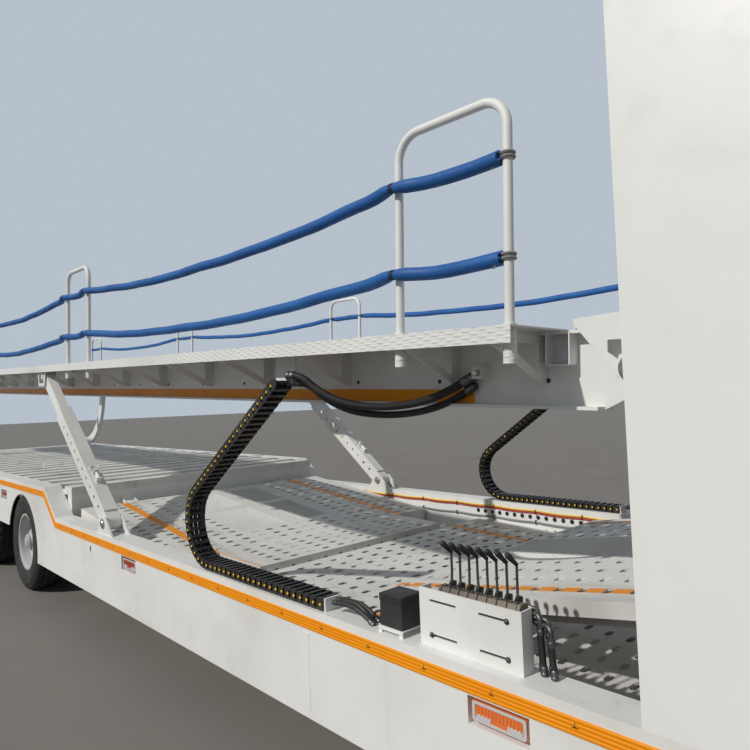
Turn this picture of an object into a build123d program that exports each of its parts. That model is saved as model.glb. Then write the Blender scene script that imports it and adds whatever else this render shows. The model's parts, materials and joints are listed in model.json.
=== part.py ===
"""Two-deck car transporter semi-trailer, unladen, upper deck lowered, standing on its landing legs.

Millimetres.  +X points forward, +Y to the trailer's left, +Z up.  The origin is on the ground,
in the middle of the trailer's length and width.
"""
from build123d import *
from math import atan2, cos, degrees, hypot, pi, radians, sin, tan
import os

os.makedirs("parts", exist_ok=True)

# Overall
LENGTH = 13750
WIDTH = 2500
FRONT_X = LENGTH / 2
REAR_X = -LENGTH / 2
SIDE_Y = WIDTH / 2
PLATE = 6
PIN_CLEARANCE = 0.05
SEAT_GAP = 0.3

# Side frames: a box girder beside the well, a skirt and a raised ledge beside the wheels
SKIRT_BOTTOM = 295
LEDGE_Z = 700
RAISED_Z = 900
LEDGE_WIDTH = 130
WELL_FRONT_X = 4330
NOSE_CHAMFER = 130
STEP_FOOT_X = -430
STEP_TOP_X = -707
REAR_SKIRT_BOTTOM = 490
TAIL_SKIRT_BOTTOM = 620
TAIL_X = REAR_X + 175
ARCH_RADIUS = 440
ARCH_Z = 355
STRIP_LOW = 625
STRIP_HEIGHT = 45
STRIP_THICKNESS = 5
SKIRT_Y = SIDE_Y - STRIP_THICKNESS
WEB_Y = SIDE_Y - LEDGE_WIDTH
# round holes in the inner wall of the well box
WEB_HOLE_RADIUS = 16
WEB_HOLE_PITCH = 64
WEB_HOLE_ROWS = (615, 525)
WEB_HOLE_FRONT = 3400
WEB_HOLE_REAR = 1600
# side lamps in pockets of the skirt: (x, z) of each middle
LAMP_PLACES = ((3467, 580), (912, 580), (-1930, 745), (-4700, 745))
LAMP_LENGTH = 180
LAMP_HEIGHT = 56
POCKET_MARGIN = 12
POCKET_DEPTH = 30
POCKET_WALL = 4

# Wheels and axles
TYRE_RADIUS = 398
TYRE_WIDTH = 235
RIM_RADIUS = 222
FLANGE_Y = 92
FLANGE_HEIGHT = 10
AXLE_X = (-1335, -2645)
WHEEL_Y = SIDE_Y - 15 - TYRE_WIDTH / 2
SPINDLE_RADIUS = 40
AXLE_SIZE = 110

# Bogie and tail
BOGIE_BEAM_Y = 560
BOGIE_BEAM_WIDTH = 110
BOGIE_BEAM_BOTTOM = 600
TAIL_BEAM_BOTTOM = 720
DECK_THICKNESS = 60
RIB_PITCH = 300
RIB_WIDTH = 150
RIB_HEIGHT = 25
BULKHEAD_THICKNESS = 90
BULKHEAD_SETBACK = 40
OUTRIGGER_WIDTH = 60
OUTRIGGER_HEIGHT = 70
TAIL_OUTRIGGERS = 5
ARM_HANGER_DISTANCE = 480
HANGER_PLATE = 12
HANGER_BOTTOM = 348
AIR_SPRING_DISTANCE = 330
AIR_SPRING_RADIUS = 130

# Slots of the loading surfaces, long across the trailer with pointed ends
SLOT_LENGTH = 66
SLOT_WIDTH = 26
SLOT_PITCH_X = 90
SLOT_PITCH_Y = 120
SHEET = 6

# Well: the floor sheet falls towards the front, and is low under the rear wheel ramp
WELL_BOTTOM = 295
FLOOR_FRONT_Z = 450
FLOOR_CREST_Z = 560
FLOOR_CREST_X = 1620
FLOOR_LOW_Z = 460
FLOOR_SIDE_GAP = 3
CROSSMEMBER_WIDTH = 60
CROSSMEMBER_PITCH = 780
SPINE_Y = 310
SPINE_WIDTH = 70
DRAIN_PITCH = 230
DRAIN_WIDTH = 120
DRAIN_LENGTH = 300
DRAIN_Y = 620

# Neck
NECK_TOP = 1130
NECK_BOTTOM = 950
NECK_BEAM_Y = 520
NECK_BEAM_WIDTH = 100
KINGPIN_X = FRONT_X - 725
KINGPIN_RADIUS = 25.4
KINGPIN_FLANGE_RADIUS = 36.5
KINGPIN_LENGTH = 84
COUPLING_PLATE = 10
COUPLING_HALF = 560
NECK_COVER = 8
NECK_COVER_HALF = 1200
NOSE_BEAM_WIDTH = 60
WING_RIB_WIDTH = 70
WING_RIB_HEIGHT = 70
WELL_WALL_TOP = 790
WELL_WALL_THICKNESS = 70
WELL_WALL_LAP = 8

# Landing legs
LEG_X = 4200
LEG_Y = 950
LEG_SIZE = 100
LEG_WALL = 9
LEG_CLEARANCE = 3
LEG_TOP = 740
FOOT_SIZE = 240
FOOT_THICKNESS = 25

# Front columns and the carriage that rides in them
COLUMN_X = 4050
COLUMN_WIDTH = 200
COLUMN_Y0 = 1095
COLUMN_Y1 = 1232
COLUMN_WALL = 10
COLUMN_LIP = 35
COLUMN_TOP = 2900
COVER_X0 = 3870
COVER_X1 = 4290
COVER_THICKNESS = 10
CARRIAGE_GAP = 7
CARRIAGE_HEIGHT = 360
CARRIAGE_BEAM_HEIGHT = 140
CARRIAGE_BEAM_WIDTH = 140

# Upper deck, in its own frame: pivot at the origin, +x forward, +z up, then tilted rear up
PIVOT_X = 3790
PIVOT_Z = 1530
PIVOT_RADIUS = 30
EYE_RADIUS = 62
DECK_SLOPE = 2.3
DECK_REACH = PIVOT_X - REAR_X
WALK_TOP = 121
WALK_PLATE = 5
WALK_FRONT = -225
WALK_LIP = 50
BEAM_Y = 950
BEAM_BOTTOM = -118
BEAM_FLANGE = 90
BEAM_FLANGE_THICKNESS = 10
BEAM_WEB = 8
BEAM_FRONT = -110
GUSSET_PITCH = 580
GUSSET_FIRST = -300
GUSSET_START = -640
GUSSET_BOTTOM = -45
GUSSET_ROOT = 30
GUSSET_TIP = 40
WINDOW_MARGIN = 35
DECK_CROSS_PITCH = 1060
DECK_CROSS_WIDTH = 60
DECK_CROSS_HEIGHT = 95
TRACK_INNER_Y = 380
TRACK_SIDE_GAP = 5
TRACK_FRONT = -70
TRACK_Z = 80
TRACK_PLATE = 5
TRACK_LIP = 35
TRACK_SLOT_PITCH = 150
TRACK_SLOT_ROWS = (490, 640, 790)
# orange strip along the outside of each main beam
BEAM_STRIP_FRONT = -575
BEAM_STRIP_HEIGHT = 46
BEAM_STRIP_THICKNESS = 4

# Guard hoops along the upper deck and the two ropes on each row of them
HOOP_COUNT = 4
HOOP_FRONT = -464
HOOP_SPAN = 421
HOOP_HEIGHT = 655
HOOP_RADIUS = 14
HOOP_BEND = 85
HOOP_REAR_MARGIN = 245
SOCKET_RADIUS = 19
SOCKET_DROP = 105
SOCKET_COLLAR = 6
SOCKET_FLOOR = 8
RAIL_Y = 1210
ROPE_RADIUS = 20
ROPE_HEIGHTS = (472, 192)
ROPE_SAG_SHARE = 0.022
ROPE_GAP = 3

# Front platform over the neck
NOSE_PIVOT_X = 4310
NOSE_REACH = FRONT_X - 85 - NOSE_PIVOT_X
NOSE_WALK_REAR = 140
NOSE_CROSS_REAR = 170
NOSE_CROSS_COUNT = 4
NOSE_SHALLOWER = 60

# Telescoping posts between the side frames and the upper deck
POST_FOOT = (500, 765)
POST_HEAD = (-785, 1750)
POST_Y = 1180
POST_DEPTH = 110
POST_BREADTH = 84
POST_WALL = 7
POST_INNER_DEPTH = 88
POST_INNER_BREADTH = 62
POST_OUTER_LENGTH = 1150
POST_INNER_START = 260
POST_PIN_RADIUS = 20
POST_HOLE_RADIUS = 12
POST_HOLE_PITCH = 92
POST_HOLE_COUNT = 10
EAR_THICKNESS = 10

# Curved arms under the tail of the upper deck
ARM_PIVOT = (REAR_X + 275, 1000)
ARM_REACH = 980
ARM_TIP_X = ARM_PIVOT[0] + ARM_REACH
ARM_SAGITTA = 300
ARM_WIDTH = 110
ARM_THICKNESS = 50
ROLLER_RADIUS = 50

# Rear wheel ramp in the well, hinged at the bogie: it falls to a crease, and a narrower front band goes on
PLATFORM_A_HINGE = (-400, 728)
PLATFORM_A_CREASE = (1080, 582)
PLATFORM_A_FRONT = (1530, 572)
PLATFORM_A_HALF = 1090
BAND_HALF = 760
FLANGE_DEPTH = 92
FLANGE_PLATE = 12
FLANGE_HOLE_RADIUS = 17
FLANGE_HOLE_PITCH = 118
FLANGE_HOLES = 12
# Its expanded-metal panels: (from, to) behind the pin along the ramp, and from the centre plane
PANEL_SPANS = ((150, 590), (650, 1170))
PANEL_INNER_Y = 60
PANEL_OUTER_Y = 340
RAMP_DEPTH = 85
RAMP_BEAM = 60
BAND_DEPTH = 70
# Expanded metal: staggered rows of diamonds
MESH_THICKNESS = 4
MESH_PITCH_X = 88
MESH_PITCH_Y = 30
MESH_HALF_X = 36
MESH_HALF_Y = 22
# Front wheel platform in the well, hinged on the neck: two slotted trays with mesh between them
PLATFORM_B_HINGE = (5350, 1105)
PLATFORM_B_REAR_X = 2640
PLATFORM_B_REAR_Z = 690
PLATFORM_B_HALF = 905
TRAY_INNER_Y = 250
TRAY_LIP = 50
TRAY_SLOT_ROWS = (330, 480, 630, 780)
PLATFORM_DEPTH = 80
PLATFORM_BEAM = 60
HINGE_PIN_RADIUS = 20
HINGE_Y = 700
KNUCKLE_RADIUS = 30
KNUCKLE_HALF = 33
HINGE_EAR = 12
HINGE_EAR_GAP = 5
PIN_BELOW_TOP = 30
CYLINDER_RADIUS = 24
CYLINDER_Y = 830
CYLINDER_SPAN = (-2130, -1650)

# Cable carriers: a chain of links from each ledge, round a bend, up to the deck
CARRIER_Y = 1187
CARRIER_WIDTH = 76
LINK_PITCH = 41
LINK_HALF_HEIGHT = 24
LINK_NECK = 17
CARRIER_END_X = 2690
CARRIER_BEND_X = 1815
CARRIER_BEND_RADIUS = 190
CARRIER_RISE = 34.5
CARRIER_TOP_X = 2440
CARRIER_PLATE = 8
# the plate that holds a carrier's upper end, in the upper deck's own frame
MOUNT_X = (-1480, -1340)
MOUNT_BOTTOM = -22

# Hoses from the carriers' upper ends to a fitting on each main beam: (x, y, z), the left one
HOSE_RADIUS = 14
HOSE_POINTS = (
    (2452, 1187, 1582),
    (2530, 1186, 1584),
    (2640, 1180, 1512),
    (2765, 1163, 1462),
    (2890, 1130, 1444),
    (3005, 1088, 1446),
    (3100, 1046, 1466),
    (3175, 1004, 1504),
    (3233, 984, 1536),
)
FITTING_X = -528
FITTING_Z = -4
FITTING_LENGTH = 50
FITTING_HALF = 20

# Valve station and control box on both ledges
VALVE_X0 = 3151
VALVE_X1 = 3530
VALVE_PLATE_Y = 1202
VALVE_TOP = 875
VALVE_FLANGE = 52
VALVE_SLOT_LENGTH = 105
VALVE_SLOT_HEIGHT = 8
VALVE_SECTIONS = 8
SECTION_WIDTH = 38
SECTION_PITCH = 41.5
BANK_Y = 1163
BANK_DEPTH = 54
BANK_BOTTOM = 730
BANK_TOP = 838
SOCKET_CAP_RADIUS = 11
SOCKET_CAP_HEIGHT = 18
LEVER_RADIUS = 5
LEVER_TOP = 952
KNOB_RADIUS = 13
KNOB_FOOT_RADIUS = 8
KNOB_HEIGHT = 48
BOX_X0 = 2915
BOX_X1 = 3095
BOX_Y = 1175
BOX_DEPTH = 92
BOX_BOTTOM = 705
BOX_TOP = 828


def block(x0, x1, y0, y1, z0, z1):
    return Pos((x0 + x1) / 2, (y0 + y1) / 2, (z0 + z1) / 2) * Box(abs(x1 - x0), abs(y1 - y0), abs(z1 - z0))


def rod_y(x, z, radius, y0, y1):
    return Pos(x, (y0 + y1) / 2, z) * Rot(90, 0, 0) * Cylinder(radius, abs(y1 - y0))


def rod_z(x, y, radius, z0, z1):
    return Pos(x, y, (z0 + z1) / 2) * Cylinder(radius, abs(z1 - z0))


def side_profile(points, y0, y1):
    """A plate of the outline (x, z) between two distances from the centre plane."""
    face = Plane(origin=(0, y1, 0), x_dir=(1, 0, 0), z_dir=(0, -1, 0)) * make_face(Polyline(*points, close=True))
    return extrude(face, y1 - y0)


def cross_profile(points, x0, x1):
    """A plate of the outline (y, z) between two places along the trailer."""
    face = Plane(origin=(x0, 0, 0), x_dir=(0, 1, 0), z_dir=(1, 0, 0)) * make_face(Polyline(*points, close=True))
    return extrude(face, x1 - x0)


def both_sides(piece):
    return piece + mirror(piece, about=Plane.XZ)


def save(name, shape):
    export_step(shape, f"parts/{name}.step")


def polygon_wire(points):
    return Wire.make_polygon([Vector(x, y, 0) for x, y in points], close=True)


def slot_outline(x, y):
    """The pointed slot round a place, long across the trailer."""
    w = SLOT_WIDTH / 2
    tip = SLOT_LENGTH / 2
    cheek = tip - w
    return [(x - w, y - cheek), (x, y - tip), (x + w, y - cheek), (x + w, y + cheek), (x, y + tip), (x - w, y + cheek)]


def slotted_sheet(x0, x1, y0, y1, thickness, slots, openings=()):
    """A flat sheet with its top at z 0, a slot at each (x, y), and openings (x0, x1, y0, y1)."""
    outline = polygon_wire([(x0, y0), (x1, y0), (x1, y1), (x0, y1)])
    holes = [polygon_wire(slot_outline(x, y)) for x, y in slots]
    holes += [polygon_wire([(a, c), (b, c), (b, d), (a, d)]) for a, b, c, d in openings]
    return Solid.extrude(Face(outline, holes), Vector(0, 0, -thickness))


def spaced(first, last, pitch):
    """Places from first to last, about a pitch apart and evenly spread."""
    count = max(1, round(abs(last - first) / pitch))
    return [first + (last - first) * i / count for i in range(count + 1)]


def slot_rows(half):
    """Rows of slots, a pitch apart from the centre plane outwards."""
    count = int((half - SLOT_LENGTH / 2 - 15) / SLOT_PITCH_Y)
    return [SLOT_PITCH_Y * i for i in range(-count, count + 1)]


def in_deck(piece):
    """Place a piece that was made in the upper deck's own frame."""
    return Pos(PIVOT_X, 0, PIVOT_Z) * Rot(0, DECK_SLOPE, 0) * piece


def deck_point(x, z):
    """World (x, z) of a point of the upper deck's own frame."""
    a = radians(DECK_SLOPE)
    return (PIVOT_X + x * cos(a) + z * sin(a), PIVOT_Z - x * sin(a) + z * cos(a))


def deck_local(x, z):
    """The upper deck's own (x, z) of a world point."""
    a = radians(DECK_SLOPE)
    dx = x - PIVOT_X
    dz = z - PIVOT_Z
    return (dx * cos(a) - dz * sin(a), dx * sin(a) + dz * cos(a))


# Side frames
def ledge_line(offset):
    """The top edge of a side frame, front to rear, lowered by an offset."""
    return [
        (WELL_FRONT_X, LEDGE_Z - offset),
        (STEP_FOOT_X, LEDGE_Z - offset),
        (STEP_TOP_X, RAISED_Z - offset),
        (TAIL_X, RAISED_Z - offset),
    ]


def well_box(inset):
    """Outline (x, z) of the box girder beside the well, drawn in by an inset all round."""
    rear = STEP_FOOT_X + inset
    front = WELL_FRONT_X - inset
    low = SKIRT_BOTTOM + inset
    chamfer = NOSE_CHAMFER - inset / 2
    return [(rear, LEDGE_Z - inset), (rear, low), (front - chamfer, low), (front, low + chamfer), (front, LEDGE_Z - inset)]


def lamp_pocket(x, z, wall):
    """The hollow round a side lamp, open at the skirt, or the block of its walls."""
    half_length = LAMP_LENGTH / 2 + POCKET_MARGIN + wall
    half_height = LAMP_HEIGHT / 2 + POCKET_MARGIN + wall
    face = SKIRT_Y - PLATE / 2 if wall else SKIRT_Y + PLATE
    back = SKIRT_Y - POCKET_DEPTH - wall
    return block(x - half_length, x + half_length, back, face, z - half_height, z + half_height)


def side_frame():
    """The left one, with its well box, arches, step, raised ledge and post ears."""
    skirt = side_profile(
        ledge_line(0)
        + [
            (TAIL_X, TAIL_SKIRT_BOTTOM),
            (AXLE_X[1] - ARCH_RADIUS, REAR_SKIRT_BOTTOM),
            (AXLE_X[0], REAR_SKIRT_BOTTOM),
            (AXLE_X[0], SKIRT_BOTTOM),
            (WELL_FRONT_X - NOSE_CHAMFER, SKIRT_BOTTOM),
            (WELL_FRONT_X, SKIRT_BOTTOM + NOSE_CHAMFER),
        ],
        SKIRT_Y - PLATE,
        SKIRT_Y,
    )
    for x in AXLE_X:
        skirt -= rod_y(x, ARCH_Z, ARCH_RADIUS, SKIRT_Y - 2 * PLATE, SIDE_Y)
    ledge = side_profile(ledge_line(0) + ledge_line(PLATE)[::-1], WEB_Y, SKIRT_Y)
    # the well box: one closed outline, hollowed to the plate's thickness
    box = side_profile(well_box(0), WEB_Y, SKIRT_Y) - side_profile(well_box(PLATE), WEB_Y + PLATE, SKIRT_Y - PLATE)
    # round holes in two rows through the inner wall
    drills = []
    for x in spaced(WEB_HOLE_REAR, WEB_HOLE_FRONT, WEB_HOLE_PITCH):
        for z in WEB_HOLE_ROWS:
            drills.append(rod_y(x, z, WEB_HOLE_RADIUS, WEB_Y - PLATE, WEB_Y + 2 * PLATE))
    box = box - drills
    frame = skirt + ledge + box
    for x, z in LAMP_PLACES:
        frame = frame + lamp_pocket(x, z, POCKET_WALL) - lamp_pocket(x, z, 0)
    # triangular ears that carry a post's foot, with its pin
    x, z = POST_FOOT
    ear_shape = [(x + 150, LEDGE_Z), (x + 38, z + 42), (x - 38, z + 42), (x - 110, LEDGE_Z)]
    inner = POST_Y - POST_BREADTH / 2 - EAR_THICKNESS - 5
    outer = POST_Y + POST_BREADTH / 2 + 5
    for y in (inner, outer):
        frame += side_profile(ear_shape, y, y + EAR_THICKNESS)
    frame += rod_y(x, z, POST_PIN_RADIUS, inner, outer + EAR_THICKNESS)
    # upright plate at the lower end of the cable carrier
    half = CARRIER_WIDTH / 2
    plate = CARRIER_END_X + SEAT_GAP
    top = LEDGE_Z + 2 * LINK_HALF_HEIGHT
    frame += block(plate, plate + CARRIER_PLATE, CARRIER_Y - half, CARRIER_Y + half, LEDGE_Z - PLATE, top)
    return frame


frame_left = side_frame()
save("side_frame_left", frame_left)
save("side_frame_right", mirror(frame_left, about=Plane.XZ))


# Orange rub strips along both skirts, up the step and along the raised ledge
def rub_strip():
    rise = RAISED_Z - LEDGE_Z
    low = [(WELL_FRONT_X, STRIP_LOW), (STEP_FOOT_X, STRIP_LOW), (STEP_TOP_X, STRIP_LOW + rise), (TAIL_X, STRIP_LOW + rise)]
    high = [(x, z + STRIP_HEIGHT) for x, z in low]
    return side_profile(low + high[::-1], SKIRT_Y, SIDE_Y)


save("rub_strips", both_sides(rub_strip()))


# Side lamps in their pockets
def side_lamps():
    lamps = []
    for x, z in LAMP_PLACES:
        back = SKIRT_Y - POCKET_DEPTH + SEAT_GAP
        front = SKIRT_Y - PLATE
        half_length = LAMP_LENGTH / 2
        half_height = LAMP_HEIGHT / 2
        lamps.append(block(x - half_length, x + half_length, back, front, z - half_height, z + half_height))
    return both_sides(lamps[0] + lamps[1:])


save("side_lamps", side_lamps())


# Lower deck of the well
def floor_top(x):
    """Height of the floor sheet's top in front of the ramp."""
    share = (x - FLOOR_CREST_X) / (WELL_FRONT_X - FLOOR_CREST_X)
    return FLOOR_CREST_Z + share * (FLOOR_FRONT_Z - FLOOR_CREST_Z)


def well_floor():
    """The slotted sheet, with square holes for the landing legs."""
    front = WELL_FRONT_X - WELL_WALL_LAP - SEAT_GAP
    slope = atan2(FLOOR_CREST_Z - floor_top(front), front - FLOOR_CREST_X)
    length = (front - FLOOR_CREST_X) / cos(slope)
    half = WEB_Y - FLOOR_SIDE_GAP
    leg = (LEG_X - FLOOR_CREST_X) / cos(slope)
    hole = LEG_SIZE / 2 - LEG_WALL + LEG_CLEARANCE
    clear = hole + SLOT_LENGTH
    slots = []
    for x in spaced(75, length - 60, SLOT_PITCH_X):
        for y in slot_rows(half):
            if abs(x - leg) > clear or abs(abs(y) - LEG_Y) > clear:
                slots.append((x, y))
    holes = [(leg - hole, leg + hole, y - hole, y + hole) for y in (-LEG_Y, LEG_Y)]
    sheet = slotted_sheet(0, length, -half, half, SHEET, slots, holes)
    return Pos(FLOOR_CREST_X, 0, FLOOR_CREST_Z) * Rot(0, degrees(slope), 0) * sheet


save("well_floor", well_floor())


def member_profile(x0, x1, y0, y1):
    """A beam of the well between two places, with its top just under the floor sheet."""
    drop = SHEET + SEAT_GAP
    if x1 <= FLOOR_CREST_X:
        return block(x0, x1, y0, y1, WELL_BOTTOM, FLOOR_LOW_Z - PLATE / 2)
    top = [(x1, floor_top(x1) - drop), (max(x0, FLOOR_CREST_X), floor_top(max(x0, FLOOR_CREST_X)) - drop)]
    if x0 < FLOOR_CREST_X:
        top += [(FLOOR_CREST_X, FLOOR_LOW_Z - PLATE / 2), (x0, FLOOR_LOW_Z - PLATE / 2)]
    return side_profile(top + [(x0, WELL_BOTTOM), (x1, WELL_BOTTOM)], y0, y1)


def well_members():
    """Cross members and spines of the well, with the low sheet under the ramp and its riser."""
    half = WEB_Y - SEAT_GAP
    rear = STEP_FOOT_X + 20
    front = WELL_FRONT_X - WELL_WALL_LAP - SEAT_GAP
    drains = []
    for x in spaced(rear + DRAIN_PITCH, FLOOR_CREST_X - DRAIN_PITCH, DRAIN_PITCH):
        for y in (-DRAIN_Y, 0, DRAIN_Y):
            reach = DRAIN_LENGTH / 2
            drains.append((x - DRAIN_WIDTH / 2, x + DRAIN_WIDTH / 2, y - reach, y + reach))
    members = Pos(0, 0, FLOOR_LOW_Z) * slotted_sheet(rear, FLOOR_CREST_X + 1, -half, half, PLATE, (), drains)
    riser_top = FLOOR_CREST_Z - SHEET - 2 * SEAT_GAP
    members += block(FLOOR_CREST_X, FLOOR_CREST_X + PLATE, -half, half, FLOOR_LOW_Z - PLATE, riser_top)
    for y in (-SPINE_Y, SPINE_Y):
        members += member_profile(rear, front, y - SPINE_WIDTH / 2, y + SPINE_WIDTH / 2)
    x = front - CROSSMEMBER_WIDTH
    while x > rear + CROSSMEMBER_WIDTH:
        members += member_profile(x, x + CROSSMEMBER_WIDTH, -half, half)
        x -= CROSSMEMBER_PITCH
    return members


save("well_members", well_members())


# Bogie: front bulkhead with the hinge ears of the ramp
def hinge_ears(hx, hz, root_x, root_top, root_bottom, hinge_y):
    """Two pairs of ears, each with its pin, from a wall at root_x."""
    way = 1 if hx > root_x else -1
    tip = hx + way * (HINGE_PIN_RADIUS + 2)
    half = HINGE_PIN_RADIUS + 2
    inner = KNUCKLE_HALF + HINGE_EAR_GAP
    ears = None
    for y in (-hinge_y, hinge_y):
        pair = rod_y(hx, hz, HINGE_PIN_RADIUS, y - inner - HINGE_EAR, y + inner + HINGE_EAR)
        for ear_y in (y - inner - HINGE_EAR, y + inner):
            outline = [(root_x, root_top), (tip, hz + half), (tip, hz - half), (root_x, root_bottom)]
            pair += side_profile(outline, ear_y, ear_y + HINGE_EAR)
        ears = pair if ears is None else ears + pair
    return ears


def bogie_frame():
    deck_bottom = RAISED_Z - DECK_THICKNESS
    wall_x1 = STEP_FOOT_X - BULKHEAD_SETBACK
    wall_x0 = wall_x1 - BULKHEAD_THICKNESS
    half = WEB_Y - 2
    frame = block(wall_x0, wall_x1, -half, half, WELL_BOTTOM, deck_bottom)
    frame += block(wall_x1, STEP_FOOT_X + 20, -half, half, WELL_BOTTOM, FLOOR_LOW_Z)
    hx, hz = PLATFORM_A_HINGE
    return frame + hinge_ears(hx, hz, wall_x1, hz + 45, hz - 80, HINGE_Y)


save("bogie_frame", bogie_frame())


def arm_hanger(x, y0, y1):
    hx = x + ARM_HANGER_DISTANCE
    outline = [(hx - 90, BOGIE_BEAM_BOTTOM), (hx - 45, HANGER_BOTTOM), (hx + 45, HANGER_BOTTOM), (hx + 90, BOGIE_BEAM_BOTTOM)]
    return side_profile(outline, y0, y0 + HANGER_PLATE) + side_profile(outline, y1 - HANGER_PLATE, y1)


def outrigger_places():
    """One behind the lamp between the axles, the rest evenly from behind the rear arch to the tail."""
    yield LAMP_PLACES[2][0] - LAMP_LENGTH
    first = AXLE_X[1] - ARCH_RADIUS - 215
    last = TAIL_X + 200
    for i in range(TAIL_OUTRIGGERS):
        yield first + (last - first) * i / (TAIL_OUTRIGGERS - 1)


def bogie_beams():
    """Main beams with the arm hangers, and the outriggers that carry the deck and the ledges."""
    deck_bottom = RAISED_Z - DECK_THICKNESS
    root = STEP_FOOT_X - BULKHEAD_SETBACK - BULKHEAD_THICKNESS
    beams = None
    for side in (-1, 1):
        y0 = side * BOGIE_BEAM_Y - BOGIE_BEAM_WIDTH / 2
        y1 = side * BOGIE_BEAM_Y + BOGIE_BEAM_WIDTH / 2
        outline = [
            (root, deck_bottom),
            (root, BOGIE_BEAM_BOTTOM),
            (AXLE_X[1] - 900, BOGIE_BEAM_BOTTOM),
            (TAIL_X, TAIL_BEAM_BOTTOM),
            (TAIL_X, deck_bottom),
        ]
        beam = side_profile(outline, y0, y1)
        for x in AXLE_X:
            beam += arm_hanger(x, y0, y1)
        beams = beam if beams is None else beams + beam
    half = OUTRIGGER_WIDTH / 2
    reach = SKIRT_Y - PLATE
    for x in outrigger_places():
        beams += block(x - half, x + half, -reach, reach, deck_bottom - OUTRIGGER_HEIGHT, deck_bottom)
    return beams


save("bogie_beams", bogie_beams())


# Ribbed deck over the bogie and the tail
def bogie_deck():
    bottom = RAISED_Z - DECK_THICKNESS
    front = STEP_FOOT_X - BULKHEAD_SETBACK
    half = WEB_Y - 2
    deck = block(TAIL_X, front - BULKHEAD_THICKNESS, -WEB_Y, WEB_Y, bottom, RAISED_Z - RIB_HEIGHT)
    deck += block(front - BULKHEAD_THICKNESS, front, -half, half, bottom, RAISED_Z - RIB_HEIGHT)
    x = front
    while x - RIB_WIDTH > TAIL_X:
        deck += block(x - RIB_WIDTH, x, -half, half, RAISED_Z - RIB_HEIGHT - 1, RAISED_Z)
        x -= RIB_PITCH
    return deck


save("bogie_deck", bogie_deck())


# Tail: rear beam, underrun bar, lamps
def rear_frame():
    beam = block(REAR_X, TAIL_X, -SKIRT_Y, SKIRT_Y, 640, RAISED_Z)
    for side in (-1, 1):
        beam += block(REAR_X + 60, REAR_X + 110, side * 700 - 30, side * 700 + 30, 470, 640)
    beam += block(REAR_X + 40, REAR_X + 130, -1180, 1180, 400, 520)
    for side in (-1, 1):
        beam -= block(REAR_X - 10, REAR_X + 40, side * 960 - 200, side * 960 + 200, 690, 830)
    # ears of the curved arms, with their pins
    x, z = ARM_PIVOT
    for side in (-1, 1):
        for offset in (-ARM_THICKNESS / 2 - 17, ARM_THICKNESS / 2 + 5):
            y = side * BEAM_Y + offset
            beam += side_profile([(x - 115, RAISED_Z), (x - 45, z + 45), (x + 45, z + 45), (x + 105, RAISED_Z)], y, y + 12)
        beam += rod_y(x, z, HINGE_PIN_RADIUS, side * BEAM_Y - ARM_THICKNESS / 2 - 17, side * BEAM_Y + ARM_THICKNESS / 2 + 17)
    return beam


save("rear_frame", rear_frame())


def rear_lamps():
    lamp = block(REAR_X + 8, REAR_X + 40 - SEAT_GAP, 960 - 195, 960 + 195, 695, 825)
    return both_sides(lamp)


save("rear_lamps", rear_lamps())


# Neck with coupling plate and kingpin
def neck():
    outline = [
        (FRONT_X - 60, NECK_TOP),
        (PLATFORM_B_HINGE[0] + 70, NECK_TOP),
        (PLATFORM_B_HINGE[0] + 70, 1030),
        (WELL_FRONT_X, 850),
        (WELL_FRONT_X, WELL_BOTTOM),
        (WELL_FRONT_X + 130, 420),
        (WELL_FRONT_X + 620, NECK_BOTTOM),
        (FRONT_X - 60, NECK_BOTTOM),
    ]
    frame = None
    for side in (-1, 1):
        beam = side_profile(outline, side * NECK_BEAM_Y - NECK_BEAM_WIDTH / 2, side * NECK_BEAM_Y + NECK_BEAM_WIDTH / 2)
        frame = beam if frame is None else frame + beam
    # front bulkhead of the well
    half = WEB_Y - 2
    frame += block(WELL_FRONT_X - WELL_WALL_LAP, WELL_FRONT_X + WELL_WALL_THICKNESS, -half, half, WELL_BOTTOM, WELL_WALL_TOP)
    # coupling plate and the box round the kingpin
    plate_rear = PLATFORM_B_HINGE[0] + 150
    frame += block(plate_rear, FRONT_X - 20, -COUPLING_HALF, COUPLING_HALF, NECK_BOTTOM - COUPLING_PLATE, NECK_BOTTOM)
    frame += block(KINGPIN_X - 120, KINGPIN_X + 120, -NECK_BEAM_Y, NECK_BEAM_Y, NECK_BOTTOM, NECK_TOP - 40)
    # hinge ears and pins of the front wheel platform
    hx, hz = PLATFORM_B_HINGE
    inner = KNUCKLE_HALF + HINGE_EAR_GAP
    outline = [(hx + 90, hz + 20), (hx - 22, hz + 22), (hx - 22, hz - 22), (hx + 10, 1000), (hx + 90, 1000)]
    for y in (-NECK_BEAM_Y, NECK_BEAM_Y):
        for ear_y in (y - inner - HINGE_EAR, y + inner):
            frame += side_profile(outline, ear_y, ear_y + HINGE_EAR)
        frame += rod_y(hx, hz, HINGE_PIN_RADIUS, y - inner - HINGE_EAR, y + inner + HINGE_EAR)
    return frame


save("neck", neck())


def neck_top():
    """The cover over the neck with its nose beam and the ribs under its wings."""
    rear = PLATFORM_B_HINGE[0] + 70
    half = NECK_COVER_HALF
    cover = block(rear, FRONT_X, -half, half, NECK_TOP, NECK_TOP + NECK_COVER)
    cover += block(FRONT_X - NOSE_BEAM_WIDTH, FRONT_X, -half, half, NECK_BOTTOM, NECK_TOP + NECK_COVER)
    inner = NECK_BEAM_Y + NECK_BEAM_WIDTH / 2
    rib = WING_RIB_WIDTH / 2
    for x in (rear + 40, KINGPIN_X, FRONT_X - 200):
        for side in (-1, 1):
            cover += block(x - rib, x + rib, side * inner, side * half, NECK_TOP - WING_RIB_HEIGHT, NECK_TOP)
    return cover


save("neck_top", neck_top())


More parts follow.
